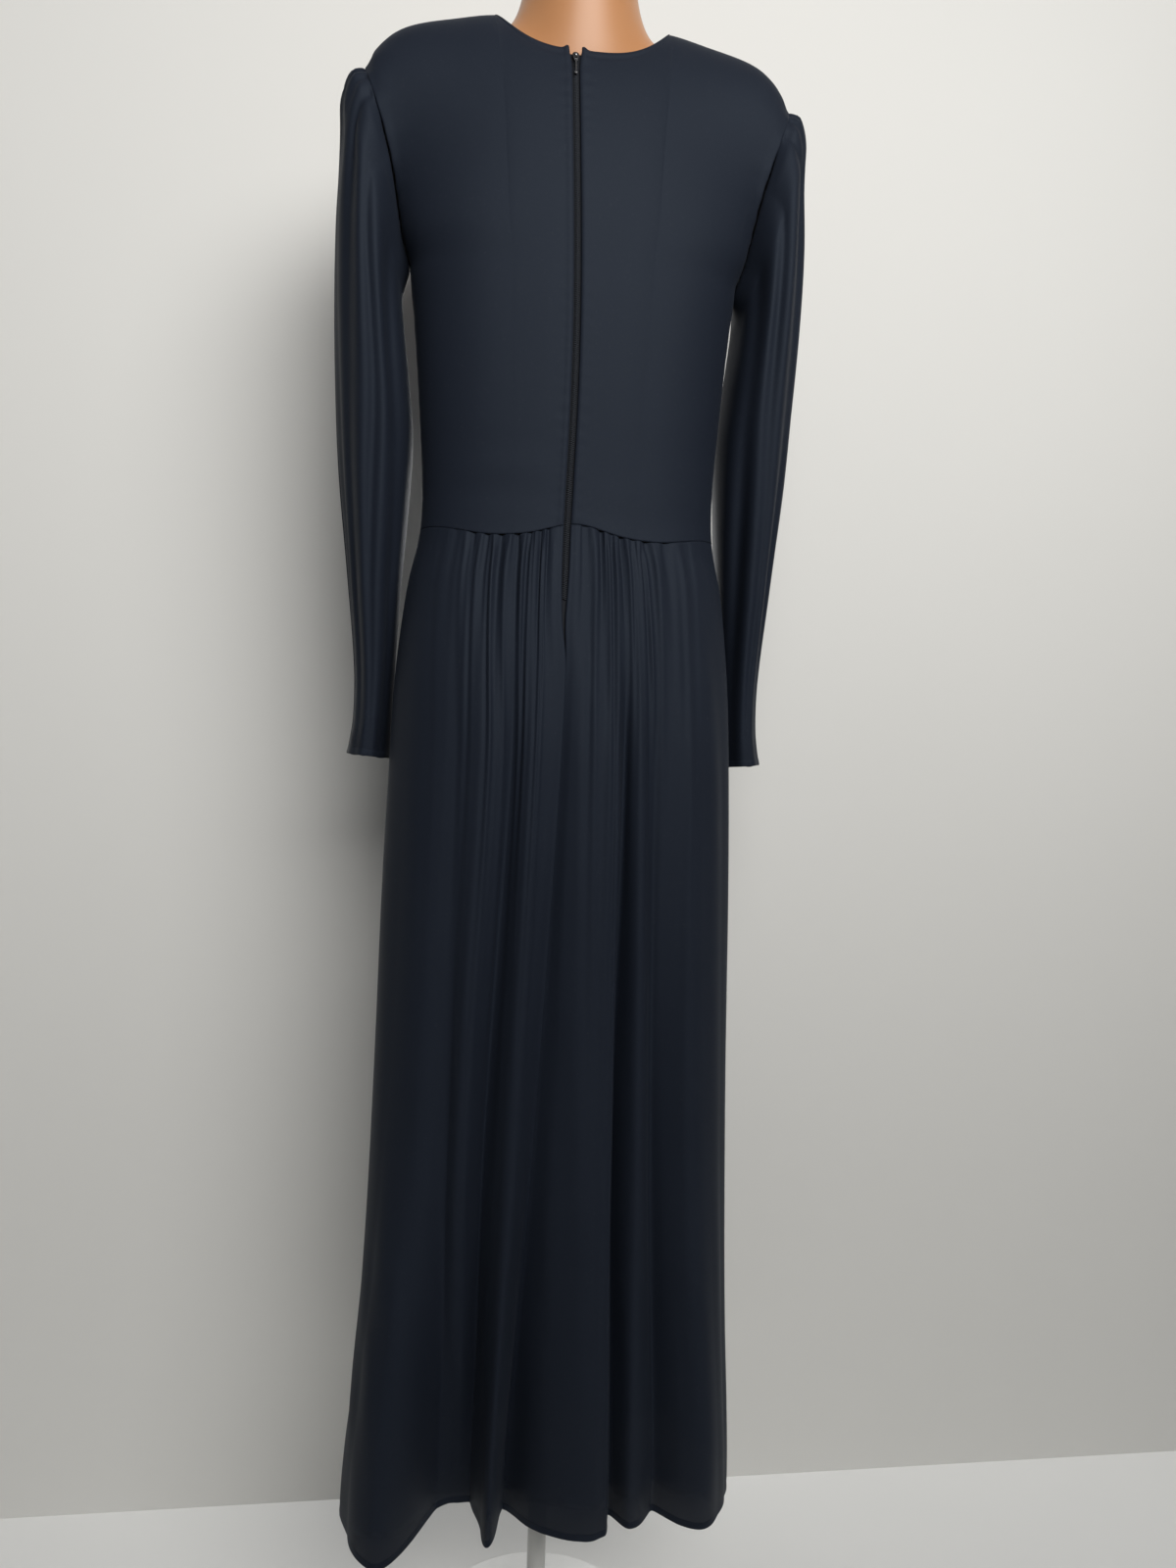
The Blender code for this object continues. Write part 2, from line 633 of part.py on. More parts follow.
def beside_zip(angle, up, side):
    """The angle, moved off the middle so that a back half's edge runs beside the zip."""
    if not side:
        return angle
    centre = bodice_point(0.0, up)
    half_width = along(BODY_SECTIONS, "half_width", centre.z)
    if up > 0.5:
        edge_z = mix(ARMHOLE[0].z, ARMHOLE[-1].z, (centre.z - UNDERARM_Z) / DOME_RISE)
        half_width = along(ARMHOLE, "half_width", edge_z)
    x = power(math.sin(angle), SQUARENESS) * half_width
    x += (zip_x(centre.z) + side * OPENING / 2) * max(0.0, 1 - abs(x) / OPENING_REACH)
    return math.asin(power(min(max(x / half_width, -1.0), 1.0), 1 / SQUARENESS))


def skirt():
    """Gathered back halves and front, each a row of columns three to a gather."""
    rows = SKIRT_ROWS
    left, right, last = 11, 30, len(GATHERS)
    thirds = [i / 3 for i in range(3 * last + 1)]

    def columns(start, end):
        return [g for g in thirds if start - 1e-6 < g < end + 1e-6]

    def panel(name, start, end, gaps):
        made = wall(name, skirt_beside_zip, columns(start, end), rows, gaps=gaps)
        paint(made, JERSEY, 0.55)

    panel("skirt_back_left", 0, left, (0, 1, 0, 2))
    panel("skirt_front", left, right, (1, 1, 0, 2))
    panel("skirt_back_right", right, last, (1, 0, 0, 2))


SKIRT_ROWS = [0.0, 0.06, 0.16, 0.28, 0.40, 0.52, 0.64, 0.75, 0.85, 0.93, 1.0]


def skirt_beside_zip(gather, up):
    """The skirt's surface, with the back edges held apart where the zip runs down between them."""
    point = skirt_point(gather, up)
    flat_x = point.x
    near_left = max(0.0, 1 - gather / 2)
    near_right = max(0.0, 1 - (len(GATHERS) - gather) / 2)
    closed_z = ZIP_TOP_Z - ZIP_LENGTH
    half = mix(SEAM_GAP / 2, OPENING / 2, smooth((point.z - closed_z) / 0.10))
    point.x += (near_left - near_right) * half
    if point.z > closed_z:
        centre = skirt_point(0, up)
        shift = (zip_x(centre.z) - centre.x) * smooth((point.z - closed_z) / 0.05)
        point.x += (near_left + near_right) * shift
    point.z += (waist_z(point.x) - waist_z(flat_x)) * up
    return point


def zip_line(z):
    """The cloth's outer surface at the zip, at this height."""
    waist = waist_z(zip_x(WAIST_Z))
    if z < waist:
        y = skirt_point(0, (z - HEM_Z) / (waist - HEM_Z)).y
    elif z < UNDERARM_Z:
        y = ring_point(BODY_SECTIONS, 0.0, z).y
    else:
        up = (z - UNDERARM_Z) / DOME_RISE
        y = dome_point(1, 0.0, math.asin(up ** (DOME_POWER / 2)) * 2 / math.pi).y
    return Vector((zip_x(z), y, z))


def zip_frame(z):
    """Down the zip and out of the cloth, at this height."""
    down = (zip_line(z - 0.004) - zip_line(z + 0.004)).normalized()
    return down, Vector((0, -down.z, down.y)).normalized()


def strip(name, heights, width, depth, thickness):
    """A flat band down the zip, this deep under the cloth's outer face."""
    mesh = bmesh.new()
    rings = []
    for z in heights:
        middle = zip_line(z)
        out = zip_frame(z)[1]
        corners = ((-1, depth), (1, depth), (1, depth + thickness), (-1, depth + thickness))
        side = Vector((width / 2, 0, 0))
        rings.append([mesh.verts.new(middle + side * k - out * deep) for k, deep in corners])
    for upper, lower in zip(rings, rings[1:]):
        for i in range(4):
            mesh.faces.new((upper[i], upper[(i + 1) % 4], lower[(i + 1) % 4], lower[i]))
    mesh.faces.new(rings[0])
    mesh.faces.new(rings[-1])
    return finish(name, mesh)


def prism(mesh, profile, half_width):
    """A flat piece between -half_width and half_width in X, from its outline in the other two."""
    left, right = ([mesh.verts.new((x, *point)) for point in profile] for x in (-half_width, half_width))
    for i in range(len(profile)):
        k = (i + 1) % len(profile)
        mesh.faces.new((left[i], left[k], right[k], right[i]))
    mesh.faces.new(left)
    mesh.faces.new(right)


def solid(name, profile, half_width):
    mesh = bmesh.new()
    prism(mesh, profile, half_width)
    return finish(name, mesh)


def combine(base, tool, operation):
    """Joins the tool to the base or cuts it out, and removes the tool."""
    change = base.modifiers.new(operation, "BOOLEAN")
    change.operation = operation
    change.solver = "EXACT"
    change.object = tool
    bpy.context.view_layer.update()
    made = bpy.data.meshes.new_from_object(base.evaluated_get(bpy.context.evaluated_depsgraph_get()))
    base.modifiers.clear()
    base.data = made
    bpy.data.objects.remove(tool)


def place(made, origin, down, out):
    """Puts a piece built with Y out of the cloth and Z up the zip where it belongs."""
    up = -down
    made.data.transform(Matrix((Vector((1, 0, 0)), out, up)).transposed().to_4x4())
    made.data.transform(Matrix.Translation(origin))
    made.data.shade_smooth()
    made.data.set_sharp_from_angle(angle=math.radians(50))


def zip_pieces():
    """Tape and coil behind the opening, and the slider with its pull tab at the top."""
    top = ZIP_TOP_Z - ZIP_TOP_MARGIN
    bottom = ZIP_TOP_Z - ZIP_LENGTH
    waist = waist_z(zip_x(WAIST_Z))
    heights = [mix(HEM_Z, waist, up) for up in SKIRT_ROWS]
    heights += [mix(waist, UNDERARM_Z, up * 2) for up in BODICE_LOWER_ROWS]
    full = bodice_top(0.0)
    heights += [dome_point(1, 0.0, full * share).z for share in DOME_SHARES]
    between = [z for z in sorted(heights, reverse=True) if bottom + 0.005 < z < top - 0.002]
    heights = [top] + between + [bottom]
    heights = [z for i, z in enumerate(heights) if i == 0 or heights[i - 1] - z > 1e-5]
    paint(strip("zip_tape", heights, TAPE_WIDTH, TAPE_DEPTH, TAPE_THICK), TAPE_BLACK, 0.8)
    chain = [z for z in heights if z > bottom + CHAIN_RISE] + [bottom + CHAIN_RISE]
    paint(strip("zip_chain", chain, CHAIN_WIDTH, CHAIN_DEPTH, CHAIN_THICK), TAPE_BLACK, 0.45)

    middle = top - SLIDER_LENGTH / 2
    down, out = zip_frame(middle)
    origin = zip_line(middle) - out * (CHAIN_DEPTH - SEAM_GAP)
    half, thick, nose = SLIDER_LENGTH / 2, SLIDER_THICK, SLIDER_THICK / 2
    body = [(0, -half), (thick - nose, -half), (thick, -half + nose)]
    body += [(thick, half - nose), (thick - nose, half), (0, half)]
    slider = solid("zip_slider", body, SLIDER_WIDTH / 2)
    reach, high, bar = BRIDGE_LENGTH / 2, thick + BRIDGE_HEIGHT, BRIDGE_BAR
    arch = [(nose, -reach), (high - bar, -reach), (high, -reach + bar)]
    arch += [(high, reach - bar), (high - bar, reach), (nose, reach)]
    combine(slider, solid("bridge", arch, BRIDGE_WIDTH / 2), "UNION")
    inner = reach - bar
    hole = [(thick, -inner), (high - bar, -inner), (high - bar, inner), (thick, inner)]
    combine(slider, solid("hole", hole, BRIDGE_WIDTH), "DIFFERENCE")
    place(slider, origin, down, out)
    paint(slider, ZIP_METAL, 0.35, 0.9)

    pin = origin + out * (thick + (BRIDGE_HEIGHT - bar) / 2) + down * PIN_DROP
    end_z = pin.z - PULL_LENGTH
    tip = zip_line(end_z) + zip_frame(end_z)[1] * PULL_REST
    tip.x = pin.x
    tab_down = (tip - pin).normalized()
    tab_out = Vector((0, -tab_down.z, tab_down.y))
    thin, edge = PULL_THICK / 2, PIN_HALF
    blade = [(-thin, edge), (thin, edge), (thin, -PULL_LENGTH), (-thin, -PULL_LENGTH)]
    pull = solid("zip_pull", blade, PULL_WIDTH / 2)
    eye_end = -EYE_LENGTH - 2 * edge
    eye = [(-thin, edge), (thin, edge), (thin, eye_end), (-thin, eye_end)]
    combine(pull, solid("eye", eye, EYE_WIDTH / 2), "UNION")
    slot = [(-PULL_THICK, -edge), (PULL_THICK, -edge), (PULL_THICK, -EYE_LENGTH), (-PULL_THICK, -EYE_LENGTH)]
    combine(pull, solid("slot", slot, BRIDGE_WIDTH / 2 + EYE_CLEARANCE), "DIFFERENCE")
    place(pull, pin, tab_down, tab_out)
    paint(pull, ZIP_METAL, 0.35, 0.9)


def sleeves():
    """Set-in sleeves, gathered at the cap."""
    shares = [0.0, 0.035, 0.08, 0.15, 0.24, 0.35, 0.48, 0.62, 0.77, 0.89, 1.0]
    turns = sleeve_turns()
    for name, side in (("sleeve_left", 1), ("sleeve_right", -1)):

        def surface(turn, share, side=side):
            return sleeve_point(side, turn, share)

        made = wall(name, surface, turns, shares, closed=True, gaps=(0, 0, 0, 0), mirrored=side < 0)
        paint(made, JERSEY, 0.55)


def form():
    """A smooth torso without limbs, with a neck stump."""
    insets = dict(
        inset_side=FORM_SIDE_INSET,
        inset_depth=FORM_BACK_INSET,
        inset_top=FORM_TOP_INSET,
        inset_neck=FORM_NECK_INSET,
        armhole=False,
    )
    heights = [0.8375, 0.88, 0.93, 0.99, 1.05, 1.11, 1.18, 1.25]
    angles = QUARTER[:-1] + [math.pi - a for a in reversed(QUARTER)]
    angles += [math.pi + a for a in QUARTER[1:]] + [2 * math.pi - a for a in reversed(QUARTER[1:-1])]
    mesh = bmesh.new()

    def column(angle):
        face = 1 if math.cos(angle) >= 0 else -1
        across = power(math.sin(angle), SQUARENESS)
        top = neck_share(face, across)
        points = [ring_point(FORM_SECTIONS, angle, z) for z in heights]
        points += [dome_point(face, across, top * share, **insets) for share in DOME_SHARES]
        return [mesh.verts.new(p) for p in points]

    grid = [column(angle) for angle in angles]
    for i in range(len(grid)):
        first, second = grid[i], grid[(i + 1) % len(grid)]
        for j in range(len(first) - 1):
            mesh.faces.new((first[j], first[j + 1], second[j + 1], second[j]))
    mesh.faces.new([column[0] for column in grid])

    in_neck = [abs(math.sin(angle)) < math.sin(NECK_CORNER) + 1e-6 for angle in angles]
    edge = [column[-1] for inside, column in zip(in_neck, grid) if inside]
    base = [vert.co.copy() for vert in edge]
    ring = edge
    for k in range(1, NECK_RINGS + 1):
        turn = k / NECK_RINGS * math.pi / 2
        above = []
        for low in base:
            around = math.atan2(low.x, low.y - RIDGE_Y)
            top_x = NECK_TOP_HALF_WIDTH * math.sin(around)
            top_y = NECK_TOP_HALF_DEPTH * math.cos(around)
            x, y = mix(low.x, top_x, math.sin(turn)), mix(low.y, top_y, math.sin(turn))
            above.append(mesh.verts.new((x, y, mix(low.z, NECK_TOP_Z, 1 - math.cos(turn)))))
        for i in range(len(ring)):
            j = (i + 1) % len(ring)
            mesh.faces.new((ring[i], above[i], above[j], ring[j]))
        ring = above
    mesh.faces.new(ring)
    bmesh.ops.remove_doubles(mesh, verts=mesh.verts, dist=2e-5)
    bmesh.ops.dissolve_degenerate(mesh, dist=1e-6, edges=mesh.edges)
    paint(finish("form_torso", mesh), SKIN_PLASTIC, 0.4)


def turned(name, profile, segments):
    """A round piece from (radius, height) pairs, top to bottom."""
    mesh = bmesh.new()
    rings = []
    for radius, z in profile:
        turns = [2 * math.pi * i / segments for i in range(segments)]
        rings.append([mesh.verts.new((radius * math.cos(a), radius * math.sin(a), z)) for a in turns])
    for upper, lower in zip(rings, rings[1:]):
        for i in range(segments):
            k = (i + 1) % segments
            mesh.faces.new((upper[i], upper[k], lower[k], lower[i]))
    mesh.faces.new(rings[0])
    mesh.faces.new(rings[-1])
    return finish(name, mesh)


def stand():
    """A pole with a flange under the form, on a round base."""
    top = FORM_SECTIONS[0].z - SEAM_GAP
    pole = [
        (FLANGE_RADIUS, top),
        (FLANGE_RADIUS, top - FLANGE_THICK),
        (POLE_RADIUS, top - FLANGE_THICK - 0.006),
        (POLE_RADIUS, BASE_THICK + SEAM_GAP),
    ]
    paint(turned("stand_pole", pole, 20), STAND_GREY, 0.35, 0.2)
    edge = 0.003
    base = [(BASE_RADIUS - edge, BASE_THICK), (BASE_RADIUS, BASE_THICK - edge), (BASE_RADIUS, 0.0)]
    paint(turned("stand_base", base, 40), STAND_GREY, 0.35, 0.2)


clear_scene()
bodice()
skirt()
zip_pieces()
sleeves()
form()
stand()
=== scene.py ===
"""Looks of the long-sleeved maxi dress with a gathered skirt and a back zip, on its limbless form."""

import math

import bmesh
import bpy
import numpy as np
from mathutils import Matrix, Vector


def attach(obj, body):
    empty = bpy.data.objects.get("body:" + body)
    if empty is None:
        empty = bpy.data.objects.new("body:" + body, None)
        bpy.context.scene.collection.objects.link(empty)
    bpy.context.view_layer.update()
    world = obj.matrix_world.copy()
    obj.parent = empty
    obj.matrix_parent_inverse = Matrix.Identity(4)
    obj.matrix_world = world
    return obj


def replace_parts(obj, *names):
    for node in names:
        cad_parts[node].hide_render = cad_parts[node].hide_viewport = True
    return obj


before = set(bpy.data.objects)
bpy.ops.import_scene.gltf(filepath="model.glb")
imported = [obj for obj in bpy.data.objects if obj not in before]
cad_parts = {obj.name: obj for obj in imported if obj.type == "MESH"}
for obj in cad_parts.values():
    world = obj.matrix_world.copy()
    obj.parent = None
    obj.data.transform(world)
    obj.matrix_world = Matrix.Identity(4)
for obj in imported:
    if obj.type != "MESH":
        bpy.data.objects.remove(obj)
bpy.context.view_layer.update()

# Stand: a steel pole with a flange that bolts up under the form, and a round weighted
# base. Both are spun from steel, powder-coated pale grey, and stand under the skirt.
FORM_BOTTOM_Z = 0.8375
PIECE_GAP = 0.0003
POLE_RADIUS = 0.009
FLANGE_RADIUS = 0.045
FLANGE_THICK = 0.006
BASE_RADIUS = 0.11
BASE_THICK = 0.012
BASE_BEVEL = 0.003
AXIS_HOLE = 0.0004
FLAT_START = 0.004


def show(name, data):
    """Adds an object with this data to the scene."""
    made = bpy.data.objects.new(name, data)
    bpy.context.scene.collection.objects.link(made)
    return made


def place_piece(name, mesh, body):
    """Puts a smooth mesh on its body."""
    mesh.shade_smooth()
    piece = show(name, mesh)
    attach(piece, body)
    return piece


def add_piece(name, points, faces, body, uvs=None):
    """Makes a piece from arrays of points and faces."""
    mesh = bpy.data.meshes.new(name)
    mesh.vertices.add(len(points))
    mesh.vertices.foreach_set("co", np.asarray(points, np.float32).ravel())
    faces = np.asarray(faces, np.int32)
    mesh.loops.add(faces.size)
    mesh.loops.foreach_set("vertex_index", faces.ravel())
    mesh.polygons.add(len(faces))
    mesh.polygons.foreach_set("loop_start", np.arange(len(faces), dtype=np.int32) * faces.shape[1])
    mesh.update(calc_edges=True)
    if uvs is not None:
        layer = mesh.uv_layers.new(name="cut")
        layer.data.foreach_set("uv", np.asarray(uvs, np.float32)[faces.ravel()].ravel())
    return place_piece(name, mesh, body)


class Socket:
    """A node's output, which takes part in Python sums."""

    def __init__(self, finish, link):
        self.finish = finish
        self.link = link

    def __add__(self, other):
        return self.finish.sum("ADD", self, other)

    def __sub__(self, other):
        return self.finish.sum("SUBTRACT", self, other)

    def __mul__(self, other):
        return self.finish.sum("MULTIPLY", self, other)

    def __pow__(self, other):
        return self.finish.sum("POWER", self, other)

    def __rsub__(self, other):
        return self.finish.sum("SUBTRACT", other, self)


class Finish:
    """One procedural material, with its Principled shader and the nodes that feed it."""

    def __init__(self, name, **shader):
        self.material = bpy.data.materials.new(name)
        self.material.use_nodes = True
        self.tree = self.material.node_tree
        self.shader = self.tree.nodes["Principled BSDF"]
        self.fill(self.shader, shader)

    def fill(self, node, sockets):
        for key, value in sockets.items():
            socket = node.inputs[key if isinstance(key, int) else key.replace("_", " ")]
            if isinstance(value, Socket):
                self.tree.links.new(value.link, socket)
            elif isinstance(value, tuple) and len(value) == 3 and socket.type == "RGBA":
                socket.default_value = (*value, 1)
            else:
                socket.default_value = value

    def add(self, kind, sockets=None, output=0, **settings):
        """Adds a node: its settings first, then its sockets' values or links."""
        node = self.tree.nodes.new("ShaderNode" + kind)
        for key, value in settings.items():
            setattr(node, key, value)
        self.fill(node, sockets or {})
        return Socket(self, node.outputs[output])

    def sum(self, operation, first, second):
        return self.add("Math", {0: first, 1: second}, operation=operation)

    def blend(self, first, second, share):
        return self.add("Mix", {0: share, 6: first, 7: second}, output=2, data_type="RGBA")

    def noise(self, scale, detail, rough=0.5, place=None):
        sockets = {"Vector": place or self.place(), "Scale": scale, "Detail": detail, "Roughness": rough}
        return self.add("TexNoise", sockets)

    def waves(self, place, scale, way, distortion, detail=2.0):
        sockets = {"Vector": place, "Scale": scale, "Distortion": distortion, "Detail": detail}
        return self.add("TexWave", sockets, output=1, bands_direction=way)

    def falling(self, value, low, high):
        """1 below the low value, falling to 0 at the high one."""
        return self.add("MapRange", {"Value": value, 1: low, 2: high, 3: 1.0, 4: 0.0})

    def place(self, stretch=(1, 1, 1), flat=False):
        """The point on the piece in metres, or on its flat cut, stretched."""
        coordinate = self.add("TexCoord", output=2 if flat else 3)
        return self.add("VectorMath", {0: coordinate, 1: stretch}, operation="MULTIPLY")

    def set(self, **sockets):
        self.fill(self.shader, sockets)

    def bump(self, height, depth, strength=1.0):
        self.set(Normal=self.add("Bump", {"Height": height, "Distance": depth, "Strength": strength}))

    def put_on(self, *pieces):
        for piece in pieces:
            piece.data.materials.clear()
            piece.data.materials.append(self.material)


def grid_faces(rows, columns, closed=False, start=0):
    """The quads of a grid of points."""
    row, column = np.meshgrid(np.arange(rows - 1), np.arange(columns - (not closed)), indexing="ij")
    beside = (column + 1) % columns
    here, above = row * columns, (row + 1) * columns
    return np.stack([here + column, here + beside, above + beside, above + column], -1).reshape(-1, 4) + start


def finish_mesh(piece, rings=(), merge=False, sharp=None):
    """Closes rings of vertices with a face each, turns the faces outward and marks sharp edges."""
    made = bmesh.new()
    made.from_mesh(piece.data)
    made.verts.ensure_lookup_table()
    for ring in rings:
        made.faces.new([made.verts[i] for i in ring])
    if merge:
        bmesh.ops.remove_doubles(made, verts=made.verts, dist=2e-5)
        bmesh.ops.dissolve_degenerate(made, dist=1e-6, edges=made.edges)
    bmesh.ops.recalc_face_normals(made, faces=made.faces)
    made.to_mesh(piece.data)
    made.free()
    if sharp:
        piece.data.shade_smooth()
        piece.data.set_sharp_from_angle(angle=math.radians(sharp))


def spun(name, profile, turns):
    """A round piece from (radius, height) pairs, top to bottom, closed at both ends."""
    profile = [(AXIS_HOLE, profile[0][1])] + profile + [(AXIS_HOLE, profile[-1][1])]
    angle = np.arange(turns) * 2 * math.pi / turns
    points = np.array([[(r * c, r * s, z) for c, s in zip(np.cos(angle), np.sin(angle))] for r, z in profile])
    count = len(profile) * turns
    faces = grid_faces(len(profile), turns, closed=True)
    piece = add_piece(name, points.reshape(-1, 3), faces, "dress")
    finish_mesh(piece, [range(turns), range(count - turns, count)], sharp=40)
    return piece


def rounded(corners, radius=0.0012, steps=4):
    """A profile with its inner corners rounded."""
    points = [corners[0]]
    for before, corner, after in zip(corners, corners[1:], corners[2:]):
        corner = Vector(corner)
        start = corner + (Vector(before) - corner).normalized() * radius
        end = corner + (Vector(after) - corner).normalized() * radius
        for i in range(steps + 1):
            t = i / steps
            points.append(tuple(start * (1 - t) ** 2 + corner * 2 * t * (1 - t) + end * t * t))
    return points + [corners[-1]]


pole_top = FORM_BOTTOM_Z - PIECE_GAP
pole_bottom = BASE_THICK + PIECE_GAP
flange_low = pole_top - FLANGE_THICK
pole_profile = [
    (FLAT_START, pole_top), (FLANGE_RADIUS, pole_top), (FLANGE_RADIUS, flange_low),
    (POLE_RADIUS + 0.004, flange_low - 0.004), (POLE_RADIUS, flange_low - 0.01),
    (POLE_RADIUS, pole_bottom), (FLAT_START, pole_bottom),
]
base_profile = [
    (FLAT_START, BASE_THICK), (BASE_RADIUS - BASE_BEVEL, BASE_THICK),
    (BASE_RADIUS, BASE_THICK - BASE_BEVEL), (BASE_RADIUS, 0.0), (FLAT_START, 0.0),
]
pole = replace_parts(spun("stand_pole_turned", rounded(pole_profile), 72), "stand_pole")
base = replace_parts(spun("stand_base_turned", rounded(base_profile), 128), "stand_base")

stand_paint = Finish("powder_coat", Coat_Weight=0.15, Coat_Roughness=0.25)
speckle = stand_paint.noise(700, 2)
scuffs = stand_paint.noise(60, 5, 0.7, stand_paint.place((1, 1, 0.2)))
stand_paint.set(
    Base_Color=stand_paint.blend((0.6, 0.6, 0.58), (0.5, 0.5, 0.48), scuffs ** 2.0),
    Roughness=speckle * 0.12 + 0.36,
)
stand_paint.bump(speckle, 0.00012, 0.35)
stand_paint.put_on(pole, base)

# Dress form: a limbless torso with a neck stump, moulded as one thin shell of smooth
# skin-coloured plastic. A thin U-shaped ridge is moulded on the back of the neck.
UNDERARM_Z = 1.32
SQUARENESS = 0.8
RIDGE_Y = 0.005
DOME_POWER = 2.4
NECK_POWER = 3.0
NECK_HALF_WIDTH = 0.083
NECK_BACK = 0.06
NECK_FRONT = 0.092
ARMHOLE_BELLY = 0.047
NECK_TOP_Z = 1.625
NECK_TOP_HALF_WIDTH = 0.0525
NECK_TOP_HALF_DEPTH = 0.056
NECK_RIDGE = {"low": 1.5745, "flat": 0.03, "end": 0.046, "width": 0.0016, "out": 0.0018}
NECK_RIDGE_CURVE = 0.0016
FORM_INSETS = {"side": 0.01, "depth": 0.0085, "top": 0.0004, "neck": 0.009}
# Level sections: height, half width, and where the back, front and side lie in Y.
DRESS_SECTIONS = [
    (0.165, 0.182, 0.08, -0.105, 0.0),
    (0.33, 0.176, 0.087, -0.108, 0.002),
    (0.48, 0.172, 0.093, -0.11, 0.004),
    (0.6, 0.169, 0.097, -0.11, 0.006),
    (0.75, 0.166, 0.102, -0.108, 0.008),
    (0.87, 0.162, 0.104, -0.104, 0.01),
    (0.95, 0.158, 0.1, -0.098, 0.012),
    (1.03, 0.149, 0.093, -0.09, 0.014),
    (1.076, 0.1395, 0.086, -0.083, 0.015),
    (1.12, 0.1375, 0.085, -0.086, 0.015),
    (1.21, 0.143, 0.088, -0.099, 0.015),
    (1.28, 0.149, 0.09, -0.109, 0.015),
    (1.32, 0.153, 0.09, -0.106, 0.015),
]
FORM_SECTIONS = [
    (0.8375, 0.141, 0.079, -0.082, 0.004),
    (0.9, 0.142, 0.08, -0.081, 0.006),
    (0.98, 0.136, 0.076, -0.075, 0.01),
    (1.06, 0.127, 0.07, -0.067, 0.013),
    (1.1, 0.126, 0.071, -0.068, 0.015),
    (1.2, 0.134, 0.077, -0.084, 0.015),
    (1.28, 0.141, 0.08, -0.098, 0.015),
    (1.32, 0.143, 0.081, -0.095, 0.015),
]
# The armhole seam's height and distance from the middle, and the shoulder's distance and height.
ARMHOLE = [
    (1.32, 0.153), (1.345, 0.16), (1.4, 0.1705),
    (1.435, 0.18), (1.465, 0.19), (1.497, 0.198),
]
SHOULDER = [
    (0.0, 1.562), (0.083, 1.559), (0.12, 1.551), (0.156, 1.541),
    (0.175, 1.53), (0.19, 1.513), (0.198, 1.497),
]


def curve(first, value, at):
    """A smooth curve through the values at these heights or shares."""
    first, value = np.asarray(first, float), np.asarray(value, float)
    at = np.clip(at, first[0], first[-1])
    low = np.clip(np.searchsorted(first, at) - 1, 0, len(first) - 2)
    slope = np.zeros(len(first))
    slope[1:-1] = (value[2:] - value[:-2]) / (first[2:] - first[:-2])
    run = first[low + 1] - first[low]
    t = (at - first[low]) / run
    return (
        value[low] * (2 * t**3 - 3 * t**2 + 1)
        + value[low + 1] * (3 * t**2 - 2 * t**3)
        + run * slope[low] * (t**3 - 2 * t**2 + t)
        + run * slope[low + 1] * (t**3 - t**2)
    )


def read(rows, column, at):
    """A table's column, read smoothly at these values of its first column."""
    table = np.asarray(rows, float)
    return curve(table[:, 0], table[:, column], at)


def ease(t):
    """0 to 1 with level ends."""
    t = np.clip(t, 0, 1)
    return t * t * (3 - 2 * t)


def mix(a, b, t):
    return a + (b - a) * t


def bell(value, width):
    """1 at 0, falling away on both sides."""
    return np.exp(-((value / width) ** 2))


def power(value, exponent):
    """A power that keeps the value's sign."""
    return np.sign(value) * np.abs(value) ** exponent


def across_at(angle):
    """How far to the wearer's left an angle lies, from -1 to 1."""
    return power(np.sin(angle), SQUARENESS)


def angle_at(x, half_width):
    """The angle at which a section of this half width has this X."""
    return np.arcsin(power(np.clip(np.asarray(x) / half_width, -1, 1), 1 / SQUARENESS))


def armhole_x(up):
    return read(ARMHOLE, 1, mix(ARMHOLE[0][0], ARMHOLE[-1][0], up))


def level_ring(sections, angle, z):
    """Points on a level section, a rounded box: angle 0 at the back, a quarter turn at the wearer's left."""
    side = read(sections, 4, z)
    back = np.abs(read(sections, 2, z) - side)
    front = np.abs(read(sections, 3, z) - side)
    depth = np.where(np.cos(angle) > 0, back, front)
    x = read(sections, 1, z) * across_at(angle)
    return np.stack([x, side + depth * power(np.cos(angle), SQUARENESS), z + 0 * x], -1)


def dome(face, across, share, insets=None):
    """Points from the underarm (share 0) to the shoulder's ridge (share 1). Insets make it the form's."""
    inset = insets or {"side": 0, "depth": 0, "top": 0, "neck": 0}
    turn = share * math.pi / 2
    up = np.sin(turn) ** (2 / DOME_POWER)
    out = np.maximum(np.cos(turn), 0) ** (2 / DOME_POWER)
    half_width = armhole_x(up) - inset["side"]
    ridge_x = np.abs(across) * ARMHOLE[-1][1]
    under_neck = inset["neck"] * ease((NECK_HALF_WIDTH + 0.03 - ridge_x) / 0.03)
    ridge = read(SHOULDER, 1, ridge_x) - inset["top"] - under_neck
    underarm = np.where(face > 0, DRESS_SECTIONS[-1][2], DRESS_SECTIONS[-1][3])
    centre = mix(RIDGE_Y, underarm - face * inset["depth"], out)
    edge = mix(DRESS_SECTIONS[-1][4], RIDGE_Y, up)
    bend = 1 / 2.5
    if not insets:
        edge = edge + face * ARMHOLE_BELLY * np.sin(math.pi * share) ** 0.7
        bend = mix(bend, 1.1, ease(share * 2.5))
    y = mix(edge, centre, np.maximum(1 - np.abs(across) ** 2.5, 0) ** bend)
    return np.stack([across * half_width, y, mix(UNDERARM_Z, ridge, up)], -1)


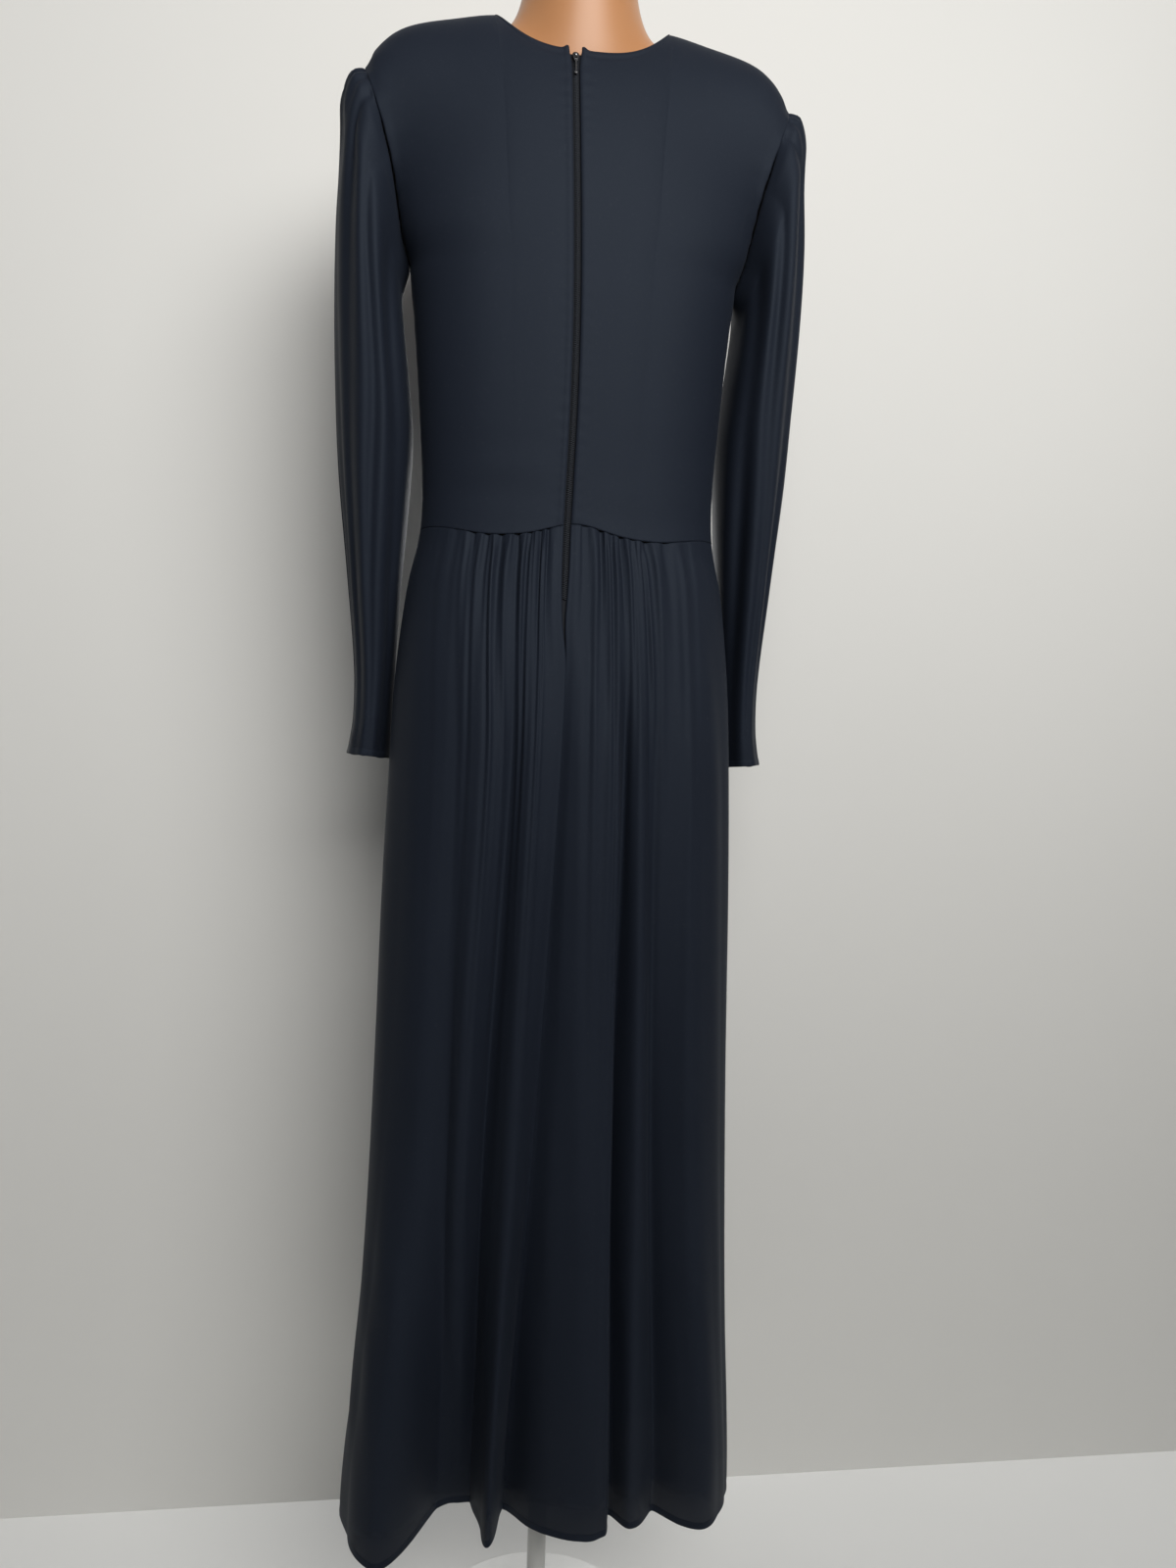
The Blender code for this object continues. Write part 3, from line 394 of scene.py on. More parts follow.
def neck_share(face, across):
    """How far up the dome each column goes before it meets the neckline, or 1."""
    depth = np.where(face > 0, NECK_BACK, NECK_FRONT)

    def outside(share):
        point = dome(face, across, share)
        x_part = (np.abs(point[..., 0]) / NECK_HALF_WIDTH) ** NECK_POWER
        return x_part + (np.abs(point[..., 1] - RIDGE_Y) / depth) ** NECK_POWER > 1 - 1e-6

    low, high = np.zeros(np.shape(across)), np.ones(np.shape(across))
    for _ in range(30):
        middle = (low + high) / 2
        out = outside(middle)
        low, high = np.where(out, middle, low), np.where(out, high, middle)
    return np.where(outside(np.ones(np.shape(across))), 1.0, low)


def moulded_form():
    neck_corner = angle_at(NECK_HALF_WIDTH, ARMHOLE[-1][1])
    neck_x = NECK_HALF_WIDTH * np.sin(np.linspace(0, 1, 26) * math.pi / 2) ** 0.8
    neck_part = angle_at(neck_x, ARMHOLE[-1][1])
    quarter = np.concatenate([neck_part[:-1], np.linspace(neck_corner, math.pi / 2, 22)])
    left_half = np.concatenate([quarter[:-1], math.pi - quarter[::-1]])
    angle = np.concatenate([left_half, math.pi + quarter[1:], 2 * math.pi - quarter[-2:0:-1]])
    face = np.where(np.cos(angle) > 0, 1, -1)
    across = across_at(angle)
    top = neck_share(face, across)
    rows = [level_ring(FORM_SECTIONS, angle, z) for z in np.linspace(FORM_BOTTOM_Z, UNDERARM_Z, 40)[:-1]]
    rows += [dome(face, across, top * share, FORM_INSETS) for share in np.linspace(0, 1, 48) ** 0.9]
    body = np.array(rows)
    at_neck = np.abs(np.sin(angle)) < math.sin(neck_corner) + 1e-6
    low = body[-1][at_neck]
    around = np.arctan2(low[:, 0], low[:, 1] - RIDGE_Y)
    turn = np.linspace(0, math.pi / 2, 34)[:, None]
    across_x = mix(low[:, 0], NECK_TOP_HALF_WIDTH * np.sin(around), np.sin(turn))
    neck_y = mix(low[:, 1], NECK_TOP_HALF_DEPTH * np.cos(around), np.sin(turn))
    up_z = mix(low[:, 2], NECK_TOP_Z, 1 - np.cos(turn))
    u_line = np.maximum(0, np.abs(across_x) - NECK_RIDGE["flat"]) ** 2 / NECK_RIDGE_CURVE + NECK_RIDGE["low"]
    on_back = (neck_y > 0.01) * (np.abs(across_x) < NECK_RIDGE["end"])
    neck_y = neck_y + NECK_RIDGE["out"] * bell(up_z - u_line, NECK_RIDGE["width"]) * on_back
    neck = np.stack([across_x, neck_y, up_z], -1)
    lip = ease((up_z - (NECK_TOP_Z - 0.003)) / 0.003)
    neck[..., :2] *= (1 - 0.03 * lip**2)[..., None]
    columns, count = len(angle), neck.shape[1]
    points = np.concatenate([body.reshape(-1, 3), neck[1:].reshape(-1, 3)])
    body_faces = grid_faces(len(rows), columns, closed=True)
    first_ring = (len(rows) - 1) * columns + np.flatnonzero(at_neck)
    ring_start = len(rows) * columns
    beside = (np.arange(count) + 1) % count
    first_neck = ring_start + np.arange(count)
    joining = np.stack([first_ring, first_ring[beside], first_neck[beside], first_neck], -1)
    neck_faces = grid_faces(len(neck) - 1, count, closed=True, start=ring_start)
    faces = np.concatenate([body_faces, joining, neck_faces])
    form = add_piece("form_torso_moulded", points, faces, "dress")
    finish_mesh(form, [range(columns), range(len(points) - count, len(points))], merge=True, sharp=60)
    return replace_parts(form, "form_torso")


form = moulded_form()
skin = Finish("skin_plastic", IOR=1.46, Coat_Weight=0.12, Coat_Roughness=0.3)
mottle = skin.noise(22, 4)
pores = skin.noise(900, 2)
skin.set(
    Base_Color=skin.blend((0.4, 0.18, 0.074), (0.45, 0.22, 0.1), mottle),
    Roughness=mottle * 0.1 + 0.34,
)
skin.bump(pores, 0.00005, 0.4)
skin.put_on(form)

# Bodice: two back halves and a front, cut from black polyester jersey, sewn at the shoulders
# and sides. The neckline and the zip's edges are turned under, so each ends in a soft roll.
JERSEY_THICK = 0.0006
WAIST_Z = 1.0712
WAIST_RISE_BACK = 0.0115
WAIST_RISE_SIDE = 0.009
WAIST_PEAK_WIDTH = 0.034
WAIST_HALF_WIDTH = 0.1393
ZIP_TOP_Z = 1.512
ZIP_LENGTH = 0.559
ZIP_OPENING = 0.0066
OPENING_REACH = 0.07
BODICE_LENGTH = 0.49
BODICE_ROWS = 122
PUCKER_PITCH = 0.0125
DRAG_PITCH = 0.021
CALM_MARGIN = 0.03
CORNER_RISE = 0.0032
CORNER_SPREAD = 0.0026


def waist_z(x):
    """The curved waist seam: up at the middle and the sides, lower between them."""
    across = np.minimum(np.abs(x) / WAIST_HALF_WIDTH, 1)
    at_sides = WAIST_RISE_SIDE * ease((across - 0.5) / 0.5)
    return WAIST_Z + at_sides + WAIST_RISE_BACK * bell(x, WAIST_PEAK_WIDTH)


def zip_x(z):
    """The zip lies a little to the wearer's left of the middle, in a slow curve."""
    return 0.0075 + 0.0028 * np.cos((z - ZIP_TOP_Z) / ZIP_LENGTH * 2 * math.pi)


def beside_zip(angle, up, side):
    """The angle, moved off the middle so that a back half's edge runs beside the zip."""
    if not side:
        return angle + 0 * up
    centre_z = bodice_surface(np.zeros((1, 1)), up, 0)[..., 2]
    upper = (centre_z - UNDERARM_Z) / (SHOULDER[0][1] - UNDERARM_Z)
    half_width = np.where(up > 0.5, armhole_x(upper), read(DRESS_SECTIONS, 1, centre_z))
    x = across_at(angle) * half_width
    x = x + (zip_x(centre_z) + side * ZIP_OPENING / 2) * np.maximum(0, 1 - np.abs(x) / OPENING_REACH)
    return angle_at(x, half_width)


def bodice_surface(angle, up, side):
    """The bodice's outer face: up is 0 at the waist, 0.5 at the underarm and 1 at the top."""
    angle = beside_zip(angle, up, side)
    face = np.where(np.cos(angle) > 0, 1, -1)
    across = across_at(angle)
    z = mix(waist_z(WAIST_HALF_WIDTH * across), UNDERARM_Z, np.minimum(up, 0.5) * 2)
    below = level_ring(DRESS_SECTIONS, angle, z)
    above = dome(face, across, neck_share(face, across) * np.clip(up * 2 - 1, 0, 1))
    return np.where((up <= 0.5)[..., None], below, above)


def face_normals(grid, closed=False):
    """The outward normals of a grid whose columns run from the back by the wearer's left."""
    if closed:
        along = np.roll(grid, -1, 1) - np.roll(grid, 1, 1)
    else:
        along = np.gradient(grid, axis=1)
    normal = np.cross(np.gradient(grid, axis=0), along)
    return normal / np.maximum(np.linalg.norm(normal, axis=-1, keepdims=True), 1e-12)


def run_from(grid, axis, end=False):
    """How far each point of a grid lies from its first edge, or its last, along the cloth."""
    steps = np.linalg.norm(np.diff(grid, axis=axis), axis=-1)
    if end:
        steps = np.flip(steps, axis)
    run = np.concatenate([np.zeros_like(np.take(steps, [0], axis)), np.cumsum(steps, axis)], axis)
    return np.flip(run, axis) if end else run


def edge_runs(grid):
    """How far each point lies from a grid's low, top, first and last edge, along the cloth."""
    return [run_from(grid, axis, end) for axis in (0, 1) for end in (False, True)]


def turned_edge(run, width=0.0016, depth=0.0008):
    """How far the cloth dips where its edge is turned under."""
    t = np.clip(run / width, 0, 1)
    return depth * (1 - np.sqrt(1 - (1 - t) ** 2))


def edged(length, count):
    """Shares along a panel, with extra ones close to both ends for the turned edges."""
    near = np.array([0, 0.0003, 0.0007, 0.0012, 0.0018]) / length
    return np.concatenate([near, np.linspace(near[-1], 1 - near[-1], count)[1:-1], 1 - near[::-1]])


def ripple(along, across, seed, length=0.11, width=0.035):
    """Soft uneven ripples of cloth, drawn out along one way, between -1 and 1."""
    draw = np.random.default_rng(seed)
    total = 0
    for _ in range(6):
        lean, phase, size = draw.uniform(-0.35, 0.35), draw.uniform(0, 6.28), draw.uniform(0.6, 1.7)
        sway = np.sin(along / (length * size) * 3.1 + draw.uniform(0, 6.28))
        wave = np.sin(across / (width * size) * 6.28 + along / length * lean * 6.28 + phase)
        total = total + wave * (0.6 + 0.4 * sway)
    return total / 4


def shell(name, grid, normals, thick, flat, closed=False):
    """A thin sheet from its outer face, with its flat coordinates in metres."""
    rows, columns = grid.shape[:2]
    count = rows * columns
    index = np.arange(count).reshape(rows, columns)
    if closed:
        rims = [np.append(index[0], index[0][0]), np.append(index[-1], index[-1][0])[::-1]]
    else:
        rims = [index[0], index[-1][::-1], index[::-1, 0], index[:, -1]]
    edges = [np.stack([r[1:], r[:-1], r[:-1] + count, r[1:] + count], -1) for r in rims]
    outside = grid_faces(rows, columns, closed)
    points = np.concatenate([grid.reshape(-1, 3), (grid - normals * thick).reshape(-1, 3)])
    faces = np.concatenate([outside, outside[:, ::-1] + count] + edges)
    return add_piece(name, points, faces, "dress", np.tile(flat.reshape(-1, 2), (2, 1)))


def cloth_panel(node, grid, normals, closed=False, edge_last=False, margin=0.0):
    """A shell of jersey for a node. Its flat coordinates run from its middle and up from its free edge."""
    wide = run_from(grid, 1)
    middle = wide[:, [wide.shape[1] // 2]]
    flat = np.stack([wide - middle, margin + run_from(grid, 0, end=edge_last)], -1)
    piece = shell(node + "_cloth", grid, normals, JERSEY_THICK, flat, closed)
    finish_mesh(piece)
    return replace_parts(piece, node)


def neckline_roll(run):
    """The bead that the turned and stitched neckline makes, with a dip along its stitching."""
    bead = 0.0005 * bell(run - 0.003, 0.0022)
    return bead - 0.0004 * bell(run - 0.0075, 0.0009)


def bodice_panel(node, columns, side, zip_at, seed):
    up = edged(BODICE_LENGTH, BODICE_ROWS)[:, None]
    grid = bodice_surface(columns[None, :], up, side)
    normals = face_normals(grid)
    x, z = grid[..., 0], grid[..., 2]
    waist_run, top_run, first_run, last_run = edge_runs(grid)
    in_neck = ease((NECK_HALF_WIDTH - np.abs(x[-1:]) + 0.004) / 0.006)
    rolled = neckline_roll(top_run) - turned_edge(top_run, 0.0016, 0.0005)
    out = mix(-turned_edge(top_run), rolled, in_neck) - turned_edge(waist_run)
    for run, zipped in ((first_run, zip_at == "first"), (last_run, zip_at == "last")):
        if zipped:
            pucker = np.cos(z / PUCKER_PITCH * 2 * math.pi + 1.7 * np.sin(z * 61))
            out = out - turned_edge(run, 0.0022, 0.0014) + 0.00022 * pucker * bell(run - 0.006, 0.006)
            out = out + 0.00045 * bell(run - 0.0035, 0.0022)
        else:
            drag = np.cos(waist_run / DRAG_PITCH * 2 * math.pi + 2.1 * np.sin(z * 37))
            size = np.where(z > UNDERARM_Z, 0.0004, 0.00014)
            out = out - turned_edge(run) + size * drag * np.exp(-run / 0.016)
    to_edge = np.minimum(np.minimum(first_run, last_run), np.minimum(top_run, waist_run))
    calm = ease(to_edge / CALM_MARGIN)
    out = out + 0.0009 * calm * ripple(z, x * 1.1, seed, 0.22, 0.085)
    near_waist = ease((1.22 - z) / 0.1)
    out = out + 0.0004 * calm * near_waist * ripple(x * 1.1, z, seed + 50, 0.12, 0.06)
    moved = grid + normals * out[..., None]
    if zip_at:
        zip_run = first_run if zip_at == "first" else last_run
        corner = bell(zip_run, 0.0065) * bell(top_run, 0.012)
        moved[..., 2] += CORNER_RISE * corner
        moved[..., 0] += side * CORNER_SPREAD * corner
    return cloth_panel(node, moved, normals, edge_last=True, margin=0.05)


neck_corner = angle_at(NECK_HALF_WIDTH, ARMHOLE[-1][1])
near_zip = NECK_HALF_WIDTH * edged(0.16, 44)[:44]
near_corner = np.append(np.linspace(0.0745, 0.0815, 10), [0.0825, NECK_HALF_WIDTH])
neck_x = np.unique(np.round(np.append(near_zip, near_corner), 6))
near_side = mix(0.93, 1.0, np.sin(np.linspace(0, 1, 12)[1:] * math.pi / 2))
beyond_neck = np.append(np.linspace(0, 0.93, 36)[1:], near_side)
out_columns = mix(neck_corner, math.pi / 2 - 1e-5, beyond_neck)
half_columns = np.append(angle_at(neck_x, ARMHOLE[-1][1]), out_columns)
back_left = bodice_panel("bodice_back_left", half_columns, 1, "first", 3)
back_right = bodice_panel("bodice_back_right", -half_columns[::-1], -1, "last", 4)
front_columns = np.append(math.pi - half_columns[::-1], math.pi + half_columns[1:])
bodice_front = bodice_panel("bodice_front", front_columns, 0, None, 5)

jersey = Finish(
    "black_jersey",
    Sheen_Weight=0.02,
    Sheen_Roughness=0.5,
    Sheen_Tint=(0.65, 0.75, 0.95),
    Specular_IOR_Level=0.18,
    Specular_Tint=(0.72, 0.85, 1.0),
)
knit_place = jersey.place(flat=True)
wales = jersey.waves(knit_place, 330.0, "X", 0.4, 1.0)
courses = jersey.waves(knit_place, 420.0, "Y", 0.6, 1.0)
fibres = jersey.noise(2600, 2, 0.6, knit_place)
wear = jersey.noise(7, 4, 0.55)
dust = jersey.noise(420, 2, 0.5) ** 9.0
tone = jersey.blend((0.0078, 0.0104, 0.0175), (0.011, 0.0143, 0.023), wear)
from_edge = jersey.add("SeparateXYZ", {0: knit_place}, output=1)
hem_band = jersey.falling(from_edge, 0.0058, 0.0068)
sheer = jersey.falling(from_edge, 0.018, 0.04)
jersey.set(
    Base_Color=jersey.blend(tone, (0.09, 0.09, 0.1), dust * 0.7),
    Roughness=fibres * 0.1 + wear * 0.06 + 0.56,
    Alpha=hem_band * 0.12 - sheer * 0.07 + wales * 0.02 + 0.94,
)
jersey.bump(wales * 0.5 + courses * 0.25 + fibres * 0.35, 0.00012, 0.5)
jersey.put_on(back_left, back_right, bodice_front)

# Skirt: two back halves and a front, much wider than the waist, gathered into its seam
# and hemmed with a narrow double turn. The gathers open into long folds down to the hem.
MILLIMETRE = 0.001
HEM_Z = 0.165
SKIRT_LENGTH = 0.91
SKIRT_ROWS = 165
COLUMNS_PER_GATHER = 11
GATHER_ROOM = 0.016
GATHER_FADE = 0.13
HEM_STITCH = 0.0065
GATHER_HEIGHTS = (0.165, 0.5, 0.87, 1.076)
# For each gather, in millimetres: where it lies in X at the hem, knee, hip and waist, and its depth.
BACK_LEFT_GATHERS = [
    (40, 24, 9, 6, 0), (47, 36, 27, 22, 2.5), (54, 44, 35, 31, 2.5), (62, 55, 43, 40, 2.5),
    (74, 70, 53, 51, 3.8), (84, 80, 67, 66, 3.5), (94, 90, 80, 78, 3), (107, 102, 95, 90, 2.5),
    (125, 118, 111, 106, 1), (142, 135, 128, 119, 0), (163, 153, 145, 131, 0),
]
FRONT_GATHERS = [
    (162, 152, 145, 131, 0), (144, 134, 126, 116, 0), (122, 113, 106, 100, 2.5),
    (100, 93, 88, 84, 3), (79, 74, 71, 68, 3.2), (58, 56, 55, 53, 3.6),
    (37, 39, 39, 38, 3), (19, 23, 24, 23, 3.4), (1, 7, 9, 9, 2.8),
    (-17, -9, -6, -6, 3.4), (-35, -25, -22, -21, 3), (-53, -41, -37, -36, 3.6),
    (-71, -58, -53, -51, 3), (-89, -76, -70, -67, 3.4), (-107, -95, -87, -83, 3),
    (-126, -114, -105, -99, 2), (-146, -134, -126, -116, 0), (-164, -153, -145, -131, 0),
]
BACK_RIGHT_GATHERS = [
    (-166, -155, -146, -132, 0), (-151, -140, -131, -120, 0), (-135, -124, -115, -104, 1),
    (-118, -107, -97, -84, 2.5), (-103, -91, -77, -63, 3.6), (-75, -70, -62, -52, 2),
    (-59, -51, -49, -41, 4), (-50, -44, -38, -32, 1.5), (-40, -33, -25, -23, 3.6),
    (-27, -21, -9, -6, 2),
]
# The large folds: the gather each follows, and how many millimetres it stands out at four heights.
FOLD_HEIGHTS = (0.165, 0.5, 0.87, 1.0)
FOLDS = [
    (0, -29, -12, -4, 0), (2, 19, 8, 3, 0), (4, -40, -20, -7, 0), (6, -37, 2, 4, 0),
    (7, -34, -5, 1, 0), (9, 44, 10, 2, 0), (11, 0, 0, 0, 0), (12, 12, 4, 1, 0),
    (14, -30, -13, -4, 0), (15, 20, 10, 3, 0), (17, -32, -15, -5, 0), (19, 26, 11, 4, 0),
    (21, -26, -12, -4, 0), (23, 24, 11, 3, 0), (25, -30, -14, -5, 0), (27, 26, 10, 3, 0),
    (29, -8, -3, 0, 0), (30, 0, 0, 0, 0), (33, 30, 12, 4, 0), (35, -8, -14, -5, 0),
    (36, 13, 8, 3, 0), (37, -10, -20, -8, 0), (38, 16, 10, 4, 0), (40, 19, 11, 4, 0),
    (41, -29, -12, -4, 0),
]


def gather_angles(rows, front=False):
    """The gathers' angles round the body at each of the four heights."""
    x = np.array(rows)[:, :4] * MILLIMETRE
    angle = angle_at(x, read(DRESS_SECTIONS, 1, np.array(GATHER_HEIGHTS)))
    return math.pi - angle if front else np.where(x[:, :1] > 0, angle, angle + 2 * math.pi)


# Where the hem hangs lower: the gather, how much, and how many gathers wide.
HEM_DROPS = [
    (8.6, 0.017, 1.3), (2.3, 0.004, 0.8), (39.2, 0.004, 1.4),
    (33.3, 0.004, 1.6), (20.0, 0.005, 2.5), (26.5, 0.006, 2.0),
]
back_left_angles = gather_angles(BACK_LEFT_GATHERS)
all_angles = [
    back_left_angles,
    np.full((1, 4), math.pi / 2),
    gather_angles(FRONT_GATHERS, front=True),
    np.full((1, 4), 3 * math.pi / 2),
    gather_angles(BACK_RIGHT_GATHERS),
    back_left_angles[:1] + 2 * math.pi,
]
GATHER_TRACKS = np.vstack(all_angles)
side_seam = [(0, 0, 0, 0, 0)]
all_gathers = BACK_LEFT_GATHERS + side_seam + FRONT_GATHERS + side_seam + BACK_RIGHT_GATHERS
GATHER_DEPTHS = np.array([row[4] for row in all_gathers + BACK_LEFT_GATHERS[:1]]) * MILLIMETRE
GATHER_COUNT = len(all_gathers)


def valley_to_crest(t):
    """0 in a valley to 1 on a crest: narrow at the valley, round at the crest."""
    soft = 0.2
    return (np.hypot(np.sin(t * math.pi / 2), soft) - soft) / (math.hypot(1, soft) - soft)


def skirt_out(gather, z):
    """How far the folds and gathers stand out from the skirt's smooth section."""
    out = np.zeros(np.broadcast(gather, z).shape)
    for low, high in zip(FOLDS, FOLDS[1:]):
        inside = (gather >= low[0]) & (gather <= high[0])
        t = np.clip((gather - low[0]) / (high[0] - low[0]), 0, 1)
        first, second = (curve(FOLD_HEIGHTS, fold[1:], z) * MILLIMETRE for fold in (low, high))
        rising = mix(first, second, valley_to_crest(t))
        falling = mix(second, first, valley_to_crest(1 - t))
        out = np.where(inside, np.where(first < second, rising, falling), out)
    start = np.minimum(gather.astype(int), GATHER_COUNT - 1)
    share = gather - start
    depth = mix(GATHER_DEPTHS[start], GATHER_DEPTHS[start + 1], share)
    fade = 1 - ease((WAIST_Z - z) / GATHER_FADE)
    return out - depth * fade * (1 - valley_to_crest(1 - np.abs(2 * share - 1)))


def skirt_surface(gather, up):
    """The skirt's outer face, beside the zip where it runs down between the back halves."""
    level = mix(HEM_Z, WAIST_Z, up)
    tracks = np.array([curve(GATHER_HEIGHTS, track, level[:, 0]) for track in GATHER_TRACKS]).T
    start = np.minimum(gather[0].astype(int), GATHER_COUNT - 1)
    share = gather - start[None, :]
    angle = mix(tracks[:, start], tracks[:, start + 1], share)
    z = mix(HEM_Z, waist_z(WAIST_HALF_WIDTH * across_at(angle)), up)
    point = level_ring(DRESS_SECTIONS, angle, z)
    step = 0.01
    tangent = level_ring(DRESS_SECTIONS, angle + step, z) - level_ring(DRESS_SECTIONS, angle - step, z)
    outward = np.stack([-tangent[..., 1], tangent[..., 0], 0 * z], -1)
    outward /= np.linalg.norm(outward, axis=-1, keepdims=True)
    point = point + outward * skirt_out(gather + 0 * z, z)[..., None]
    before_x = point[..., 0].copy()
    near_left = np.maximum(0, 1 - gather / 2)
    near_right = np.maximum(0, 1 - (GATHER_COUNT - gather) / 2)
    closed_z = ZIP_TOP_Z - ZIP_LENGTH
    half = mix(-0.00012, ZIP_OPENING / 2, ease((point[..., 2] - closed_z) / 0.1))
    back_angle = curve(GATHER_HEIGHTS, GATHER_TRACKS[0], level)
    centre_x = read(DRESS_SECTIONS, 1, level) * across_at(back_angle)
    lean = (zip_x(point[..., 2]) - centre_x) * ease((point[..., 2] - closed_z) / 0.05)
    point[..., 0] += (near_left - near_right) * half + (near_left + near_right) * lean
    point[..., 2] += (waist_z(point[..., 0]) - waist_z(before_x)) * up
    return point


def narrow_hem(run, stitch_width, step):
    """How far a turned hem stands out: rounded at its edge, and pulled in along its stitching."""
    thick = step * ease((HEM_STITCH - run) / 0.001)
    return thick - 0.0003 * bell(run - HEM_STITCH, stitch_width) - turned_edge(run, 0.0012, 0.0004)


def skirt_panel(node, start, end, zip_at, seed):
    count = round((end - start) * COLUMNS_PER_GATHER)
    gather = mix(start, end, edged((end - start) * GATHER_ROOM, count))[None, :]
    up = edged(SKIRT_LENGTH, SKIRT_ROWS)[:, None]
    grid = skirt_surface(gather, up)
    normals = face_normals(grid)
    z = grid[..., 2]
    hem_run, waist_run, first_run, last_run = edge_runs(grid)
    out = narrow_hem(hem_run, 0.001, 0.0002) - turned_edge(waist_run)
    closed = ease((ZIP_TOP_Z - ZIP_LENGTH + 0.03 - z) / 0.03)
    for run, zipped in ((first_run, zip_at == "first"), (last_run, zip_at == "last")):
        out = out - turned_edge(run, 0.0016, 1.0) * (mix(0.0014, 0.0003, closed) if zipped else 0.0005)
    draw = np.random.default_rng(seed)
    fine = 0
    place = gather + 0 * up
    for size in (0.5, 0.33, 0.27):
        fine = fine + np.cos(place / size * 2 * math.pi + draw.uniform(0, 6.28) + 1.3 * np.sin(place * 2.1))
    waist_fade = np.exp(-waist_run / 0.028) * ease(waist_run / 0.002)
    gathered = np.interp(place, np.arange(len(GATHER_DEPTHS)), GATHER_DEPTHS) / 0.004
    out = out + 0.00042 * fine * waist_fade * gathered
    calm = ease(np.minimum(first_run, last_run) / 0.012) * ease(waist_run / 0.02)
    for index in range(math.ceil(start), math.floor(end)):
        strength = (GATHER_DEPTHS[index] + GATHER_DEPTHS[index + 1]) / 2 / 0.003
        for _ in range(2):
            middle, period, phase = draw.uniform(0.15, 0.85), draw.uniform(0.22, 0.5), draw.uniform(0, 6.28)
            away = place - index - middle - 0.22 * np.sin(waist_run / period + phase)
            width = draw.uniform(0.1, 0.17) + 0.16 * ease(waist_run / 0.6)
            reach = draw.uniform(0.22, 0.85)
            size = draw.uniform(0.5, 1.3) * 0.0011 * bell(waist_run, reach) * min(strength, 1.2)
            out = out + size * calm * (bell(away, width) - 0.8 * bell(away - 1.7 * width, width))
    out = out + 0.0009 * calm * ripple(z, first_run, seed + 7, 0.45, 0.045) * ease((1.06 - z) / 0.15)
    out = out + 0.0012 * calm * ripple(z, first_run, seed + 19, 0.16, 0.075) * ease((0.75 - z) / 0.5)
    moved = grid + normals * out[..., None]
    low = 1 - ease(hem_run / 0.3)
    for at_gather, drop, width in HEM_DROPS:
        moved[..., 2] -= drop * low * bell(place - at_gather, width)
    return cloth_panel(node, moved, normals)


skirt_left = skirt_panel("skirt_back_left", 0, 11, "first", 11)
skirt_front = skirt_panel("skirt_front", 11, 30, None, 12)
skirt_right = skirt_panel("skirt_back_right", 30, 41, "last", 13)
jersey.put_on(skirt_left, skirt_front, skirt_right)

# Sleeves: two long set-in sleeves of the same jersey. Each is eased into its armhole with
# gathers that make the cap stand up a little, and ends in a soft narrow turned cuff.
SLEEVE_SEAM_GAP = 0.0007
SLEEVE_BLEND = 0.1
SLEEVE_LENGTH = 0.7
SLEEVE_ROWS = 140
SLEEVE_COLUMNS = 216
SLEEVE_ROUND = 0.36
PUFF_RISE = 0.006
PUFF_START = 0.011
# Rings down the sleeve: share, outer edge's X and Z, inner edge's, and middle and half depth in Y.
SLEEVE_RINGS = [
    (0.0, 0.206, 1.501, 0.156, 1.314, 0.006, 0.052),
    (0.06, 0.215, 1.488, 0.1595, 1.305, 0.006, 0.058),
    (0.14, 0.2205, 1.445, 0.16, 1.29, 0.004, 0.064),
    (0.24, 0.224, 1.38, 0.157, 1.262, 0.001, 0.067),
    (0.34, 0.224, 1.305, 0.152, 1.222, -0.002, 0.066),
    (0.45, 0.2215, 1.225, 0.1475, 1.17, -0.006, 0.063),
    (0.57, 0.2165, 1.14, 0.15, 1.105, -0.01, 0.058),
    (0.7, 0.207, 1.045, 0.156, 1.025, -0.015, 0.052),
    (0.83, 0.1985, 0.955, 0.16, 0.945, -0.02, 0.047),
    (0.92, 0.1985, 0.905, 0.162, 0.9, -0.022, 0.045),
    (1.0, 0.204, 0.872, 0.163, 0.868, -0.024, 0.046),
]
# Long folds down the sleeve: where each lies in turns from the top by the back, its depth and width.
SLEEVE_FOLDS = [
    (0.06, 0.004, 0.03), (0.15, 0.007, 0.034), (0.25, 0.005, 0.03), (0.36, 0.006, 0.036),
    (0.64, 0.005, 0.036), (0.76, 0.006, 0.032), (0.86, 0.006, 0.032), (0.94, 0.004, 0.028),
]
# Cap gathers: where each lies in turns, its depth and width.
CAP_GATHERS = [
    (-0.083, 0.0034, 0.006), (-0.06, 0.0026, 0.005), (-0.035, 0.0036, 0.006), (-0.012, 0.0028, 0.0055),
    (0.012, 0.0034, 0.0055), (0.037, 0.0026, 0.006), (0.058, 0.0036, 0.0055), (0.083, 0.003, 0.006),
    (0.11, 0.0024, 0.0085), (0.15, 0.0026, 0.01),
]


def around(turn, place):
    """How far a place round the sleeve is from another, in turns."""
    return (turn - place + 0.5) % 1 - 0.5


